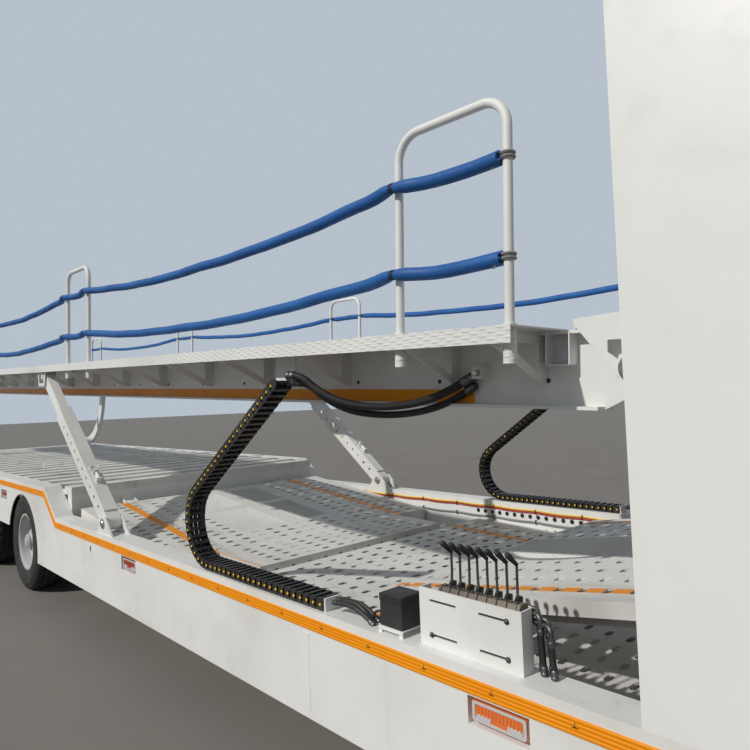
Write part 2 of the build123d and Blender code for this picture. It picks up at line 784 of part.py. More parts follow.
def kingpin():
    top = NECK_BOTTOM - COUPLING_PLATE
    pin = rod_z(KINGPIN_X, 0, KINGPIN_FLANGE_RADIUS, top - 35, top)
    pin += rod_z(KINGPIN_X, 0, KINGPIN_RADIUS, top - KINGPIN_LENGTH + 17, top - 35)
    pin += rod_z(KINGPIN_X, 0, KINGPIN_FLANGE_RADIUS, top - KINGPIN_LENGTH, top - KINGPIN_LENGTH + 17)
    return pin


save("kingpin", kingpin())


# Landing legs
def landing_leg():
    """A housing that stands on the floor sheet, its shank through the sheet's hole, and the foot."""
    floor = floor_top(LEG_X - LEG_SIZE / 2) + SEAT_GAP
    half = LEG_SIZE / 2
    leg = block(LEG_X - half, LEG_X + half, LEG_Y - half, LEG_Y + half, floor, LEG_TOP)
    inner = half - LEG_WALL
    leg += block(LEG_X - inner, LEG_X + inner, LEG_Y - inner, LEG_Y + inner, FOOT_THICKNESS, floor)
    foot = FOOT_SIZE / 2
    leg += block(LEG_X - foot, LEG_X + foot, LEG_Y - foot, LEG_Y + foot, 0, FOOT_THICKNESS)
    return leg


save("landing_legs", both_sides(landing_leg()))


# Front columns: channels open towards the middle, on the side frames
def front_column():
    x0 = COLUMN_X - COLUMN_WIDTH / 2
    x1 = COLUMN_X + COLUMN_WIDTH / 2
    column = block(x0, x1, COLUMN_Y0, COLUMN_Y1, LEDGE_Z, COLUMN_TOP)
    column -= block(
        x0 + COLUMN_WALL, x1 - COLUMN_WALL, COLUMN_Y0 + COLUMN_WALL, COLUMN_Y1 - COLUMN_WALL, LEDGE_Z + 20, COLUMN_TOP - 20
    )
    column -= block(
        x0 + COLUMN_WALL + COLUMN_LIP, x1 - COLUMN_WALL - COLUMN_LIP, COLUMN_Y0 - 10, COLUMN_Y0 + 20, LEDGE_Z + 20, COLUMN_TOP - 20
    )
    return column


save("front_columns", both_sides(front_column()))


def column_cover():
    cover = block(COVER_X0, COVER_X1, SKIRT_Y - COVER_THICKNESS, SKIRT_Y, LEDGE_Z, COLUMN_TOP + 30)
    cover += block(COVER_X0, COVER_X0 + 8, SKIRT_Y - 60, SKIRT_Y, LEDGE_Z, COLUMN_TOP + 30)
    cover += block(COVER_X1 - 8, COVER_X1, SKIRT_Y - 60, SKIRT_Y, LEDGE_Z, COLUMN_TOP + 30)
    return cover


save("column_covers", both_sides(column_cover()))


def carriage():
    """Cross beam with a block in each column and the pivots of both upper platforms."""
    inside = COLUMN_WIDTH / 2 - COLUMN_WALL - CARRIAGE_GAP
    neck_half = COLUMN_WIDTH / 2 - COLUMN_WALL - COLUMN_LIP - CARRIAGE_GAP
    z0 = PIVOT_Z - 190
    z1 = z0 + CARRIAGE_HEIGHT
    body = block(
        COLUMN_X - inside,
        COLUMN_X + inside,
        COLUMN_Y0 + COLUMN_WALL + CARRIAGE_GAP,
        COLUMN_Y1 - COLUMN_WALL - CARRIAGE_GAP,
        z0,
        z1,
    )
    body += block(COLUMN_X - neck_half, COLUMN_X + neck_half, 1000, COLUMN_Y0 + 30, z0 + 40, z1 - 40)
    # wear pads bear on the channel's walls
    rub = COLUMN_WIDTH / 2 - COLUMN_WALL - SEAT_GAP
    for pad_z in (z0 + 20, z1 - 80):
        body += block(COLUMN_X - rub, COLUMN_X + rub, COLUMN_Y0 + 50, COLUMN_Y1 - 50, pad_z, pad_z + 60)
    half = CARRIAGE_BEAM_WIDTH / 2
    low = PIVOT_Z - 100
    high = low + CARRIAGE_BEAM_HEIGHT
    body += block(COLUMN_X - half, COLUMN_X + half, 0, 1010, low, high)
    for y in (BEAM_Y - 55, BEAM_Y + 35):
        for pivot_x, way in ((PIVOT_X, -1), (NOSE_PIVOT_X, 1)):
            root = COLUMN_X + way * (half - 10)
            body += side_profile(
                [
                    (root, high),
                    (pivot_x + way * 40, PIVOT_Z + 40),
                    (pivot_x + way * 52, PIVOT_Z),
                    (pivot_x + way * 40, PIVOT_Z - 40),
                    (root, low),
                ],
                y,
                y + 20,
            )
    for pivot_x in (PIVOT_X, NOSE_PIVOT_X):
        body += rod_y(pivot_x, PIVOT_Z, PIVOT_RADIUS, BEAM_Y - 55, BEAM_Y + 55)
    return both_sides(body)


save("front_carriage", carriage())


# Upper deck
def long_beam(x0, x1, eye_x, depth_low, way):
    """An I-beam at one side with the eye of a pivot at its end."""
    top = WALK_TOP - WALK_PLATE
    flange_end = x1 if way < 0 else x0
    beam = block(x0, x1, BEAM_Y - BEAM_WEB / 2, BEAM_Y + BEAM_WEB / 2, depth_low, top)
    for z0 in (depth_low, top - BEAM_FLANGE_THICKNESS):
        beam += block(x0, x1, BEAM_Y - BEAM_FLANGE / 2, BEAM_Y + BEAM_FLANGE / 2, z0, z0 + BEAM_FLANGE_THICKNESS)
    eye = rod_y(eye_x, 0, EYE_RADIUS, BEAM_Y - 28, BEAM_Y + 28)
    eye += side_profile(
        [(flange_end, top), (flange_end, depth_low), (eye_x, -EYE_RADIUS), (eye_x, EYE_RADIUS)],
        BEAM_Y - BEAM_WEB / 2,
        BEAM_Y + BEAM_WEB / 2,
    )
    beam += eye
    beam -= rod_y(eye_x, 0, PIVOT_RADIUS + PIN_CLEARANCE, BEAM_Y - 60, BEAM_Y + 60)
    return beam


def deck_beams():
    """The two main beams, each with the fitting of a hose on its outer face."""
    beam = long_beam(-DECK_REACH, BEAM_FRONT, 0, BEAM_BOTTOM, -1)
    web = BEAM_Y + BEAM_WEB / 2
    x0 = FITTING_X - FITTING_HALF
    x1 = FITTING_X + FITTING_HALF
    beam += block(x0, x1, web - 1, web + FITTING_LENGTH, FITTING_Z - FITTING_HALF, FITTING_Z + FITTING_HALF)
    return in_deck(both_sides(beam))


save("deck_beams", deck_beams())


# Orange strip on the outer face of each main beam, just above its lower flange
def beam_strip():
    web = BEAM_Y + BEAM_WEB / 2
    low = BEAM_BOTTOM + BEAM_FLANGE_THICKNESS + 2
    return block(-DECK_REACH, BEAM_STRIP_FRONT, web, web + BEAM_STRIP_THICKNESS, low, low + BEAM_STRIP_HEIGHT)


save("beam_strips", in_deck(both_sides(beam_strip())))


def deck_crossbeams():
    half = BEAM_Y - BEAM_WEB / 2
    bars = []
    x = BEAM_FRONT - 40
    while x > -DECK_REACH + DECK_CROSS_WIDTH:
        bars.append(block(x - DECK_CROSS_WIDTH, x, -half, half, TRACK_Z - DECK_CROSS_HEIGHT, TRACK_Z))
        x -= DECK_CROSS_PITCH
    return in_deck(bars[0] + bars[1:])


save("deck_crossbeams", deck_crossbeams())


def wheel_track(x0, x1):
    """A wheel track of slotted plate with turned-up edges."""
    outer = BEAM_Y - BEAM_FLANGE / 2 - TRACK_SIDE_GAP
    margin = SLOT_LENGTH / 2
    slots = [(x, y) for x in spaced(x0 + margin, x1 - margin, TRACK_SLOT_PITCH) for y in TRACK_SLOT_ROWS]
    track = Pos(0, 0, TRACK_Z + TRACK_PLATE) * slotted_sheet(x0, x1, TRACK_INNER_Y, outer, TRACK_PLATE, slots)
    for y in (TRACK_INNER_Y, outer - TRACK_PLATE):
        track += block(x0, x1, y, y + TRACK_PLATE, TRACK_Z, TRACK_Z + TRACK_LIP)
    return track


save("deck_tracks", in_deck(both_sides(wheel_track(-DECK_REACH, TRACK_FRONT))))


def gusset(x):
    """A bracket under the walkway, cut out to a triangle."""
    low = GUSSET_BOTTOM
    top = WALK_TOP - WALK_PLATE
    web = BEAM_Y + BEAM_WEB / 2
    flange = BEAM_Y + BEAM_FLANGE / 2
    tip = SIDE_Y - WALK_PLATE
    under = top - BEAM_FLANGE_THICKNESS
    outline = [
        (web, low),
        (web + GUSSET_ROOT, low),
        (tip, top - GUSSET_TIP),
        (tip, top),
        (flange, top),
        (flange, under),
        (web, under),
    ]
    shape = cross_profile(outline, x, x + PLATE)
    inner = flange + WINDOW_MARGIN / 4
    corner = [
        (inner, low + WINDOW_MARGIN),
        (inner, top - WINDOW_MARGIN),
        (tip - 2 * WINDOW_MARGIN, top - WINDOW_MARGIN),
    ]
    return shape - cross_profile(corner, x - PLATE, x + 2 * PLATE)


def socket(x):
    return rod_z(x, RAIL_Y, SOCKET_RADIUS, WALK_TOP - SOCKET_DROP, WALK_TOP + SOCKET_COLLAR)


def socket_bore(x):
    low = WALK_TOP - SOCKET_DROP + SOCKET_FLOOR
    return rod_z(x, RAIL_Y, HOOP_RADIUS + SEAT_GAP, low, WALK_TOP + 2 * SOCKET_COLLAR)


def hoop_places():
    """Middles of the hoops along one side, evenly spread over the deck."""
    last = -DECK_REACH + HOOP_REAR_MARGIN
    return [HOOP_FRONT + (last - HOOP_FRONT) * i / (HOOP_COUNT - 1) for i in range(HOOP_COUNT)]


def hoop_legs():
    """Places of the hoops' legs, front to rear."""
    for x in hoop_places():
        yield x + HOOP_SPAN / 2
        yield x - HOOP_SPAN / 2


def post_head_local():
    return deck_local(*POST_HEAD)


def deck_walkway(x0, x1, stations):
    top = WALK_TOP - WALK_PLATE
    walk = block(x0, x1, BEAM_Y - BEAM_FLANGE / 2, SIDE_Y, top, WALK_TOP)
    walk += block(x0, x1, SIDE_Y - WALK_PLATE, SIDE_Y, WALK_TOP - WALK_LIP, WALK_TOP)
    for x in stations:
        walk += gusset(x)
    return walk


def main_walkways():
    stations = [GUSSET_FIRST]
    x = GUSSET_START
    while x > -DECK_REACH + 20:
        stations.append(x)
        x -= GUSSET_PITCH
    walk = deck_walkway(-DECK_REACH, WALK_FRONT, stations)
    walk = walk + [socket(x) for x in hoop_legs()]
    walk = walk - [socket_bore(x) for x in hoop_legs()]
    # the plate that holds the upper end of the cable carrier
    inner = CARRIER_Y - CARRIER_WIDTH / 2 - SEAT_GAP
    walk += block(*MOUNT_X, inner - CARRIER_PLATE, inner, MOUNT_BOTTOM, WALK_TOP - WALK_PLATE / 2)
    # slotted cheeks that take the pin of a post's head
    px, pz = post_head_local()
    top = WALK_TOP - WALK_PLATE
    for y in (POST_Y - POST_INNER_BREADTH / 2 - 14, POST_Y + POST_INNER_BREADTH / 2 + 6):
        cheek = side_profile([(px - 120, top), (px - 90, pz - 75), (px + 60, pz - 75), (px + 90, top)], y, y + 8)
        cheek -= block(px - 75, px + 32, y - 5, y + 15, pz - 50, pz + POST_PIN_RADIUS + SEAT_GAP)
        walk += cheek
    return in_deck(both_sides(walk))


save("deck_walkways", main_walkways())


def hoop(x):
    half = HOOP_SPAN / 2
    low = WALK_TOP - SOCKET_DROP + SOCKET_FLOOR + SEAT_GAP
    high = WALK_TOP + HOOP_HEIGHT - HOOP_RADIUS
    path = FilletPolyline(
        (x - half, RAIL_Y, low),
        (x - half, RAIL_Y, high),
        (x + half, RAIL_Y, high),
        (x + half, RAIL_Y, low),
        radius=HOOP_BEND,
    )
    ring = Plane(origin=(x - half, RAIL_Y, low), z_dir=(0, 0, 1)) * Circle(HOOP_RADIUS)
    return sweep(ring, path=path)


def guard_hoops():
    row = [hoop(x) for x in hoop_places()]
    return in_deck(both_sides(row[0] + row[1:]))


save("guard_hoops", guard_hoops())


def rope_span(x0, x1, z):
    """A sleeved rope from one hoop's leg to the next, sagging a little."""
    start = (x0 - HOOP_RADIUS - ROPE_GAP, RAIL_Y, z)
    end = (x1 + HOOP_RADIUS + ROPE_GAP, RAIL_Y, z)
    low = z - (start[0] - end[0]) * ROPE_SAG_SHARE
    path = ThreePointArc(start, ((start[0] + end[0]) / 2, RAIL_Y, low), end)
    ring = Plane(origin=start, z_dir=path % 0) * Circle(ROPE_RADIUS)
    return sweep(ring, path=path)


def guard_ropes():
    legs = list(hoop_legs())
    spans = []
    for height in ROPE_HEIGHTS:
        for x0, x1 in zip(legs, legs[1:]):
            spans.append(rope_span(x0, x1, WALK_TOP + height))
    return in_deck(both_sides(spans[0] + spans[1:]))


save("guard_ropes", guard_ropes())


def arm_rails():
    """Side plates under the main beams that keep the rollers of the curved arms in line."""
    front = ARM_TIP_X + 200 - PIVOT_X
    rear = ARM_PIVOT[0] + 150 - PIVOT_X
    rail = None
    for y in (BEAM_Y - 45, BEAM_Y + 39):
        plate = block(rear, front, y, y + 6, BEAM_BOTTOM - 70, BEAM_BOTTOM)
        rail = plate if rail is None else rail + plate
    return in_deck(both_sides(rail))


save("arm_rails", arm_rails())


# Front platform over the neck
def nose_platform():
    beam = long_beam(-BEAM_FRONT, NOSE_REACH, 0, BEAM_BOTTOM + NOSE_SHALLOWER, 1)
    frame = both_sides(beam)
    half = BEAM_Y - BEAM_WEB / 2
    last = NOSE_REACH - DECK_CROSS_WIDTH - 20
    for i in range(NOSE_CROSS_COUNT):
        x = NOSE_CROSS_REAR + (last - NOSE_CROSS_REAR) * i / (NOSE_CROSS_COUNT - 1)
        frame += block(x, x + DECK_CROSS_WIDTH, -half, half, TRACK_Z - DECK_CROSS_HEIGHT, TRACK_Z)
    return Pos(NOSE_PIVOT_X, 0, PIVOT_Z) * frame


save("nose_frame", nose_platform())


def nose_deck():
    track = wheel_track(-TRACK_FRONT, NOSE_REACH)
    top = WALK_TOP - WALK_PLATE
    walk = block(NOSE_WALK_REAR, NOSE_REACH, BEAM_Y - BEAM_FLANGE / 2, SIDE_Y, top, WALK_TOP)
    walk += block(NOSE_WALK_REAR, NOSE_REACH, SIDE_Y - WALK_PLATE, SIDE_Y, WALK_TOP - WALK_LIP, WALK_TOP)
    return Pos(NOSE_PIVOT_X, 0, PIVOT_Z) * both_sides(track + walk)


save("nose_deck", nose_deck())


# Telescoping posts: made along +x from the foot, then leaned back to the deck
POST_LENGTH = hypot(POST_HEAD[0] - POST_FOOT[0], POST_HEAD[1] - POST_FOOT[1])
POST_ANGLE = degrees(atan2(POST_HEAD[1] - POST_FOOT[1], POST_HEAD[0] - POST_FOOT[0]))


def along_post(piece):
    """From the post's own frame, foot at the origin and head on +x, to its place at the left."""
    return Pos(POST_FOOT[0], POST_Y, POST_FOOT[1]) * Rot(0, -POST_ANGLE, 0) * piece


def post_outer():
    d = POST_DEPTH / 2
    b = POST_BREADTH / 2
    tube = block(60, POST_OUTER_LENGTH, -b, b, -d, d)
    tube -= block(100, POST_OUTER_LENGTH + 10, -b + POST_WALL, b - POST_WALL, -d + POST_WALL, d - POST_WALL)
    di = POST_INNER_DEPTH / 2 + SEAT_GAP
    bi = POST_INNER_BREADTH / 2 + SEAT_GAP
    mouth = block(POST_OUTER_LENGTH - 50, POST_OUTER_LENGTH, -b + 2, b - 2, -d + 2, d - 2)
    mouth -= block(POST_OUTER_LENGTH - 60, POST_OUTER_LENGTH + 10, -bi, bi, -di, di)
    foot = block(0, 70, -b, b, -45, 45) + rod_y(0, 0, 45, -b, b)
    tube += mouth
    tube += foot
    tube -= rod_y(0, 0, POST_PIN_RADIUS + PIN_CLEARANCE, -b - 10, b + 10)
    # the row of locking holes
    drills = []
    for i in range(POST_HOLE_COUNT):
        drills.append(rod_y(150 + POST_HOLE_PITCH * i, 0, POST_HOLE_RADIUS, -b - 10, b + 10))
    return tube - drills


def post_inner():
    d = POST_INNER_DEPTH / 2
    b = POST_INNER_BREADTH / 2
    bar = block(POST_INNER_START, POST_LENGTH - 40, -b, b, -d, d)
    bar += block(
        POST_INNER_START,
        POST_INNER_START + 80,
        -POST_BREADTH / 2 + POST_WALL + SEAT_GAP,
        POST_BREADTH / 2 - POST_WALL - SEAT_GAP,
        -POST_DEPTH / 2 + POST_WALL + SEAT_GAP,
        POST_DEPTH / 2 - POST_WALL - SEAT_GAP,
    )
    bar += block(POST_LENGTH - 60, POST_LENGTH, -b, b, -34, 34) + rod_y(POST_LENGTH, 0, 34, -b, b)
    bar += rod_y(POST_LENGTH, 0, POST_PIN_RADIUS, -b - 16, b + 16)
    return bar


outer_left = along_post(post_outer())
save("post_outer_left", outer_left)
save("post_outer_right", mirror(outer_left, about=Plane.XZ))
inner_left = along_post(post_inner())
save("post_inner_left", inner_left)
save("post_inner_right", mirror(inner_left, about=Plane.XZ))


# Curved arms under the tail of the upper deck
def arm_tip():
    """The roller's centre, one radius and a seat gap below the main beam."""
    a = radians(DECK_SLOPE)
    x, z = deck_point(0, BEAM_BOTTOM)
    flange = z + (x - ARM_TIP_X) * tan(a)
    return (ARM_TIP_X, flange - (ROLLER_RADIUS + SEAT_GAP) / cos(a))


def curved_arm():
    x0, z0 = ARM_PIVOT
    x2, z2 = arm_tip()
    chord = hypot(x2 - x0, z2 - z0)
    radius = (chord * chord / 4 + ARM_SAGITTA * ARM_SAGITTA) / (2 * ARM_SAGITTA)
    mx = (x0 + x2) / 2
    mz = (z0 + z2) / 2
    nx = -(z2 - z0) / chord
    nz = (x2 - x0) / chord
    cx = mx + nx * (radius - ARM_SAGITTA)
    cz = mz + nz * (radius - ARM_SAGITTA)
    start = degrees(atan2(z0 - cz, x0 - cx))
    stop = degrees(atan2(z2 - cz, x2 - cx))
    w = ARM_WIDTH / 2
    # drawn in (x, z), about the centre of the arm's own curve
    outer = CenterArc((cx, cz), radius + w, start, stop - start)
    inner = CenterArc((cx, cz), radius - w, start, stop - start)
    edge = outer + inner + Line(outer @ 0, inner @ 0) + Line(outer @ 1, inner @ 1)
    half = ARM_THICKNESS / 2
    face = Plane(origin=(0, BEAM_Y + half, 0), x_dir=(1, 0, 0), z_dir=(0, -1, 0)) * make_face(edge)
    arm = extrude(face, ARM_THICKNESS)
    arm += rod_y(x0, z0, w, BEAM_Y - half, BEAM_Y + half)
    arm += rod_y(x2, z2, ROLLER_RADIUS - 6, BEAM_Y - half, BEAM_Y + half)
    arm -= rod_y(x0, z0, HINGE_PIN_RADIUS + PIN_CLEARANCE, BEAM_Y - 60, BEAM_Y + 60)
    # the arm's end is notched round its roller
    arm -= rod_y(x2, z2, ROLLER_RADIUS + 5, BEAM_Y - 12, BEAM_Y + 12)
    arm -= block(x2 - 90, x2 + 90, BEAM_Y - 60, BEAM_Y + 60, z2 + ROLLER_RADIUS - 8, z2 + 200)
    arm += rod_y(x2, z2, ROLLER_RADIUS, BEAM_Y - 12 + SEAT_GAP, BEAM_Y + 12 - SEAT_GAP)
    arm += rod_y(x2, z2, 16, BEAM_Y - half, BEAM_Y + half)
    return arm


arm_left = curved_arm()
save("arm_left", arm_left)
save("arm_right", mirror(arm_left, about=Plane.XZ))


def mesh_sheet(x0, x1, y0, y1):
    """Expanded metal with its top at z 0: a sheet with staggered rows of diamonds."""
    holes = []
    row = 0
    for y in spaced(y0 + MESH_HALF_Y + 6, y1 - MESH_HALF_Y - 6, MESH_PITCH_Y):
        first = x0 + MESH_PITCH_X / 2 * (1 + row)
        last = x1 - MESH_PITCH_X / 2 * (2 - row)
        for x in spaced(first, last, MESH_PITCH_X):
            holes.append([(x - MESH_HALF_X, y), (x, y - MESH_HALF_Y), (x + MESH_HALF_X, y), (x, y + MESH_HALF_Y)])
        row = 1 - row
    outline = polygon_wire([(x0, y0), (x1, y0), (x1, y1), (x0, y1)])
    return Solid.extrude(Face(outline, [polygon_wire(hole) for hole in holes]), Vector(0, 0, -MESH_THICKNESS))


def knuckles(hinge_y, way):
    """Bored hinge eyes of a platform, in its own frame, way 1 where the plate is in front of them."""
    eyes = []
    for y in (-hinge_y, hinge_y):
        y0 = y - KNUCKLE_HALF
        y1 = y + KNUCKLE_HALF
        eye = rod_y(0, -PIN_BELOW_TOP, KNUCKLE_RADIUS, y0, y1)
        eye += block(0, way * 70, y0, y1, -2 * KNUCKLE_RADIUS, 0)
        eyes.append(eye - rod_y(0, -PIN_BELOW_TOP, HINGE_PIN_RADIUS + PIN_CLEARANCE, y0 - 20, y1 + 20))
    return eyes


# Rear wheel ramp, across the well in front of the bogie
RAMP_SLOPE = atan2(
    PLATFORM_A_HINGE[1] + PIN_BELOW_TOP - PLATFORM_A_CREASE[1], PLATFORM_A_CREASE[0] - PLATFORM_A_HINGE[0]
)
RAMP_LENGTH = (PLATFORM_A_CREASE[0] - PLATFORM_A_HINGE[0]) / cos(RAMP_SLOPE)
RAMP_REAR = 50


def on_ramp(piece):
    """The pin is the origin of the ramp's own frame, and the sheet's top is above it."""
    hx, hz = PLATFORM_A_HINGE
    return Pos(hx, 0, hz) * Rot(0, degrees(RAMP_SLOPE), 0) * Pos(0, 0, PIN_BELOW_TOP) * piece


def ramp_panels():
    """Openings of the mesh panels, (x0, x1, y0, y1)."""
    for x0, x1 in PANEL_SPANS:
        yield (x0, x1, -PANEL_OUTER_Y, -PANEL_INNER_Y)
        yield (x0, x1, PANEL_INNER_Y, PANEL_OUTER_Y)


def clear_of_panels(x, y):
    margin = SLOT_LENGTH / 2 + 20
    if abs(y) > PANEL_OUTER_Y + margin:
        return True
    return all(x < x0 - margin or x > x1 + margin for x0, x1 in PANEL_SPANS)


def ramp_frame():
    half = PLATFORM_A_HALF
    slots = []
    for x in spaced(RAMP_REAR + 60, RAMP_LENGTH - 60, SLOT_PITCH_X):
        slots += [(x, y) for y in slot_rows(half) if clear_of_panels(x, y)]
    frame = slotted_sheet(RAMP_REAR, RAMP_LENGTH, -half, half, SHEET, slots, list(ramp_panels()))
    beams = []
    cross_places = [RAMP_REAR, PANEL_SPANS[0][1], PANEL_SPANS[1][1], RAMP_LENGTH - RAMP_BEAM]
    for x in cross_places:
        beams.append(block(x, x + RAMP_BEAM, -half, half, -RAMP_DEPTH, -SHEET / 2))
    for y in (-half, -HINGE_Y - RAMP_BEAM / 2, -PANEL_OUTER_Y - RAMP_BEAM):
        beams.append(block(RAMP_REAR, RAMP_LENGTH, y, y + RAMP_BEAM, -RAMP_DEPTH, -SHEET / 2))
        beams.append(block(RAMP_REAR, RAMP_LENGTH, -y - RAMP_BEAM, -y, -RAMP_DEPTH, -SHEET / 2))
    beams.append(block(RAMP_REAR, RAMP_LENGTH, -PANEL_INNER_Y, PANEL_INNER_Y, -RAMP_DEPTH, -SHEET / 2))
    return on_ramp(frame + beams + knuckles(HINGE_Y, 1))


def ramp_band():
    """The narrower band in front of the crease, with the flange and its row of holes."""
    x0, z0 = PLATFORM_A_CREASE
    x1, z1 = PLATFORM_A_FRONT
    slope = atan2(z0 - z1, x1 - x0)
    length = (x1 - x0) / cos(slope)
    slots = [(x, y) for x in spaced(60, length - 60, SLOT_PITCH_X) for y in slot_rows(BAND_HALF)]
    band = slotted_sheet(0, length, -BAND_HALF, BAND_HALF, SHEET, slots)
    beams = []
    for y in (-BAND_HALF, -PANEL_OUTER_Y - RAMP_BEAM, -RAMP_BEAM / 2, PANEL_OUTER_Y, BAND_HALF - RAMP_BEAM):
        beams.append(block(-RAMP_BEAM / 2, length, y, y + RAMP_BEAM, -BAND_DEPTH, -SHEET / 2))
    flange = block(length - FLANGE_PLATE, length, -BAND_HALF, BAND_HALF, -FLANGE_DEPTH, 0)
    drills = []
    for i in range(FLANGE_HOLES):
        y = (i - (FLANGE_HOLES - 1) / 2) * FLANGE_HOLE_PITCH
        hole = Pos(length - FLANGE_PLATE / 2, y, -FLANGE_DEPTH / 2) * Rot(0, 90, 0) * Cylinder(FLANGE_HOLE_RADIUS, 3 * FLANGE_PLATE)
        drills.append(hole)
    band = band + beams + (flange - drills)
    return Pos(x0, 0, z0) * Rot(0, degrees(slope), 0) * band


save("platform_a", ramp_frame() + ramp_band())


def ramp_mesh():
    """The four panels, seated in their openings on the beams' inner edges."""
    panels = []
    for x0, x1, y0, y1 in ramp_panels():
        panels.append(mesh_sheet(x0 + SEAT_GAP, x1 - SEAT_GAP, y0 + SEAT_GAP, y1 - SEAT_GAP))
    return on_ramp(Pos(0, 0, -1) * (panels[0] + panels[1:]))


save("ramp_mesh", ramp_mesh())


# Front wheel platform, up from the well to the neck
TRAY_SLOPE = atan2(
    PLATFORM_B_HINGE[1] + PIN_BELOW_TOP - PLATFORM_B_REAR_Z, PLATFORM_B_HINGE[0] - PLATFORM_B_REAR_X
)
TRAY_LENGTH = (PLATFORM_B_HINGE[0] - PLATFORM_B_REAR_X) / cos(TRAY_SLOPE)
TRAY_FRONT = -60


def on_trays(piece):
    """The pin is the origin of the platform's own frame, and the sheets' top is above it."""
    hx, hz = PLATFORM_B_HINGE
    return Pos(hx, 0, hz) * Rot(0, -degrees(TRAY_SLOPE), 0) * Pos(0, 0, PIN_BELOW_TOP) * piece


def platform_b():
    half = PLATFORM_B_HALF
    rear = -TRAY_LENGTH
    slots = [(x, y) for x in spaced(rear + 60, TRAY_FRONT - 50, SLOT_PITCH_X) for y in TRAY_SLOT_ROWS]
    tray = slotted_sheet(rear, TRAY_FRONT, TRAY_INNER_Y, half, SHEET, slots)
    tray += block(rear, TRAY_FRONT, half - PLATE, half, -TRAY_LIP, 0)
    for y in (TRAY_INNER_Y, NECK_BEAM_Y + 65):
        tray += block(rear, TRAY_FRONT, y, y + PLATFORM_BEAM / 2, -PLATFORM_DEPTH, -SHEET / 2)
    x0, x1 = CYLINDER_SPAN
    middle = Pos((x0 + x1) / 2, CYLINDER_Y, -TRAY_LIP - CYLINDER_RADIUS + 6)
    tray += middle * Rot(0, 90, 0) * Cylinder(CYLINDER_RADIUS, x1 - x0)
    frame = both_sides(tray)
    beams = []
    for share in (1, 0.75, 0.5, 0.25):
        x = -TRAY_LENGTH * share
        beams.append(block(x, x + PLATFORM_BEAM, -half + PLATE, half - PLATE, -PLATFORM_DEPTH, -SHEET))
    beams.append(block(TRAY_FRONT - PLATFORM_BEAM, TRAY_FRONT, -half + PLATE, half - PLATE, -PLATFORM_DEPTH, -SHEET))
    return on_trays(frame + beams + knuckles(NECK_BEAM_Y, -1))


save("platform_b", platform_b())


def tray_mesh():
    """The strip of mesh between the two trays, on the cross beams."""
    half = TRAY_INNER_Y - SEAT_GAP
    strip = mesh_sheet(-TRAY_LENGTH, TRAY_FRONT, -half, half)
    return on_trays(Pos(0, 0, -SHEET + MESH_THICKNESS + SEAT_GAP) * strip)


save("tray_mesh", tray_mesh())


# Cable carriers
def carrier_place(s):
    """Place and direction, as (x, z, degrees), at a distance along the chain from its lower end."""
    z = LEDGE_Z + LINK_HALF_HEIGHT + SEAT_GAP
    flat = CARRIER_END_X - CARRIER_BEND_X
    bend = radians(180 - CARRIER_RISE) * CARRIER_BEND_RADIUS
    if s < flat:
        return (CARRIER_END_X - s, z, 180)
    if s < flat + bend:
        turn = (s - flat) / CARRIER_BEND_RADIUS
        x = CARRIER_BEND_X - CARRIER_BEND_RADIUS * sin(turn)
        return (x, z + CARRIER_BEND_RADIUS * (1 - cos(turn)), 180 - degrees(turn))
    rise = radians(CARRIER_RISE)
    x0 = CARRIER_BEND_X - CARRIER_BEND_RADIUS * sin(rise)
    z0 = z + CARRIER_BEND_RADIUS * (1 + cos(rise))
    run = s - flat - bend
    return (x0 + run * cos(rise), z0 + run * sin(rise), CARRIER_RISE)


def carrier_length():
    rise = radians(CARRIER_RISE)
    x0 = CARRIER_BEND_X - CARRIER_BEND_RADIUS * sin(rise)
    bend = radians(180 - CARRIER_RISE) * CARRIER_BEND_RADIUS
    return CARRIER_END_X - CARRIER_BEND_X + bend + (CARRIER_TOP_X - x0) / cos(rise)


def beside_carrier(s, offset):
    x, z, angle = carrier_place(s)
    return (x - offset * sin(radians(angle)), z + offset * cos(radians(angle)))


def cable_carrier():
    """The left chain: each link is high at its tail and narrows under the next one."""
    count = int(carrier_length() / LINK_PITCH)
    left = []
    right = []
    for i in range(count):
        s = i * LINK_PITCH
        for along, height in ((0, LINK_HALF_HEIGHT), (LINK_PITCH - 3, LINK_NECK)):
            left.append(beside_carrier(s + along, height))
            right.append(beside_carrier(s + along, -height))
    half = CARRIER_WIDTH / 2
    return side_profile(left + right[::-1], CARRIER_Y - half, CARRIER_Y + half)


save("cable_carriers", both_sides(cable_carrier()))


# Hoses from the carriers to the main beams
def fillet_radius(points):
    """The largest radius that leaves every corner its tangent lengths."""
    smallest = 1e9
    for a, b, c in zip(points, points[1:], points[2:]):
        first = Vector(*b) - Vector(*a)
        second = Vector(*c) - Vector(*b)
        half_turn = radians(first.get_angle(second)) / 2
        smallest = min(smallest, 0.45 * min(first.length, second.length) / tan(half_turn))
    return smallest


def deck_hose(side):
    points = [(x, side * y, z) for x, y, z in HOSE_POINTS]
    path = FilletPolyline(*points, radius=fillet_radius(points))
    ring = Plane(origin=points[0], z_dir=path % 0) * Circle(HOSE_RADIUS)
    return sweep(ring, path=path)


save("deck_hose_left", deck_hose(1))
save("deck_hose_right", deck_hose(-1))


# Axles, arms and air springs
def axle(x):
    half = AXLE_SIZE / 2
    inner = WHEEL_Y - 90
    beam = block(x - half, x + half, -inner, inner, TYRE_RADIUS - half, TYRE_RADIUS + half)
    beam += rod_y(x, TYRE_RADIUS, SPINDLE_RADIUS, -WHEEL_Y - 55, WHEEL_Y + 55)
    for side in (-1, 1):
        beam += rod_y(x, TYRE_RADIUS, 165, side * (WHEEL_Y - 140), side * (WHEEL_Y - 108))
    return beam


save("axles", axle(AXLE_X[0]) + axle(AXLE_X[1]))


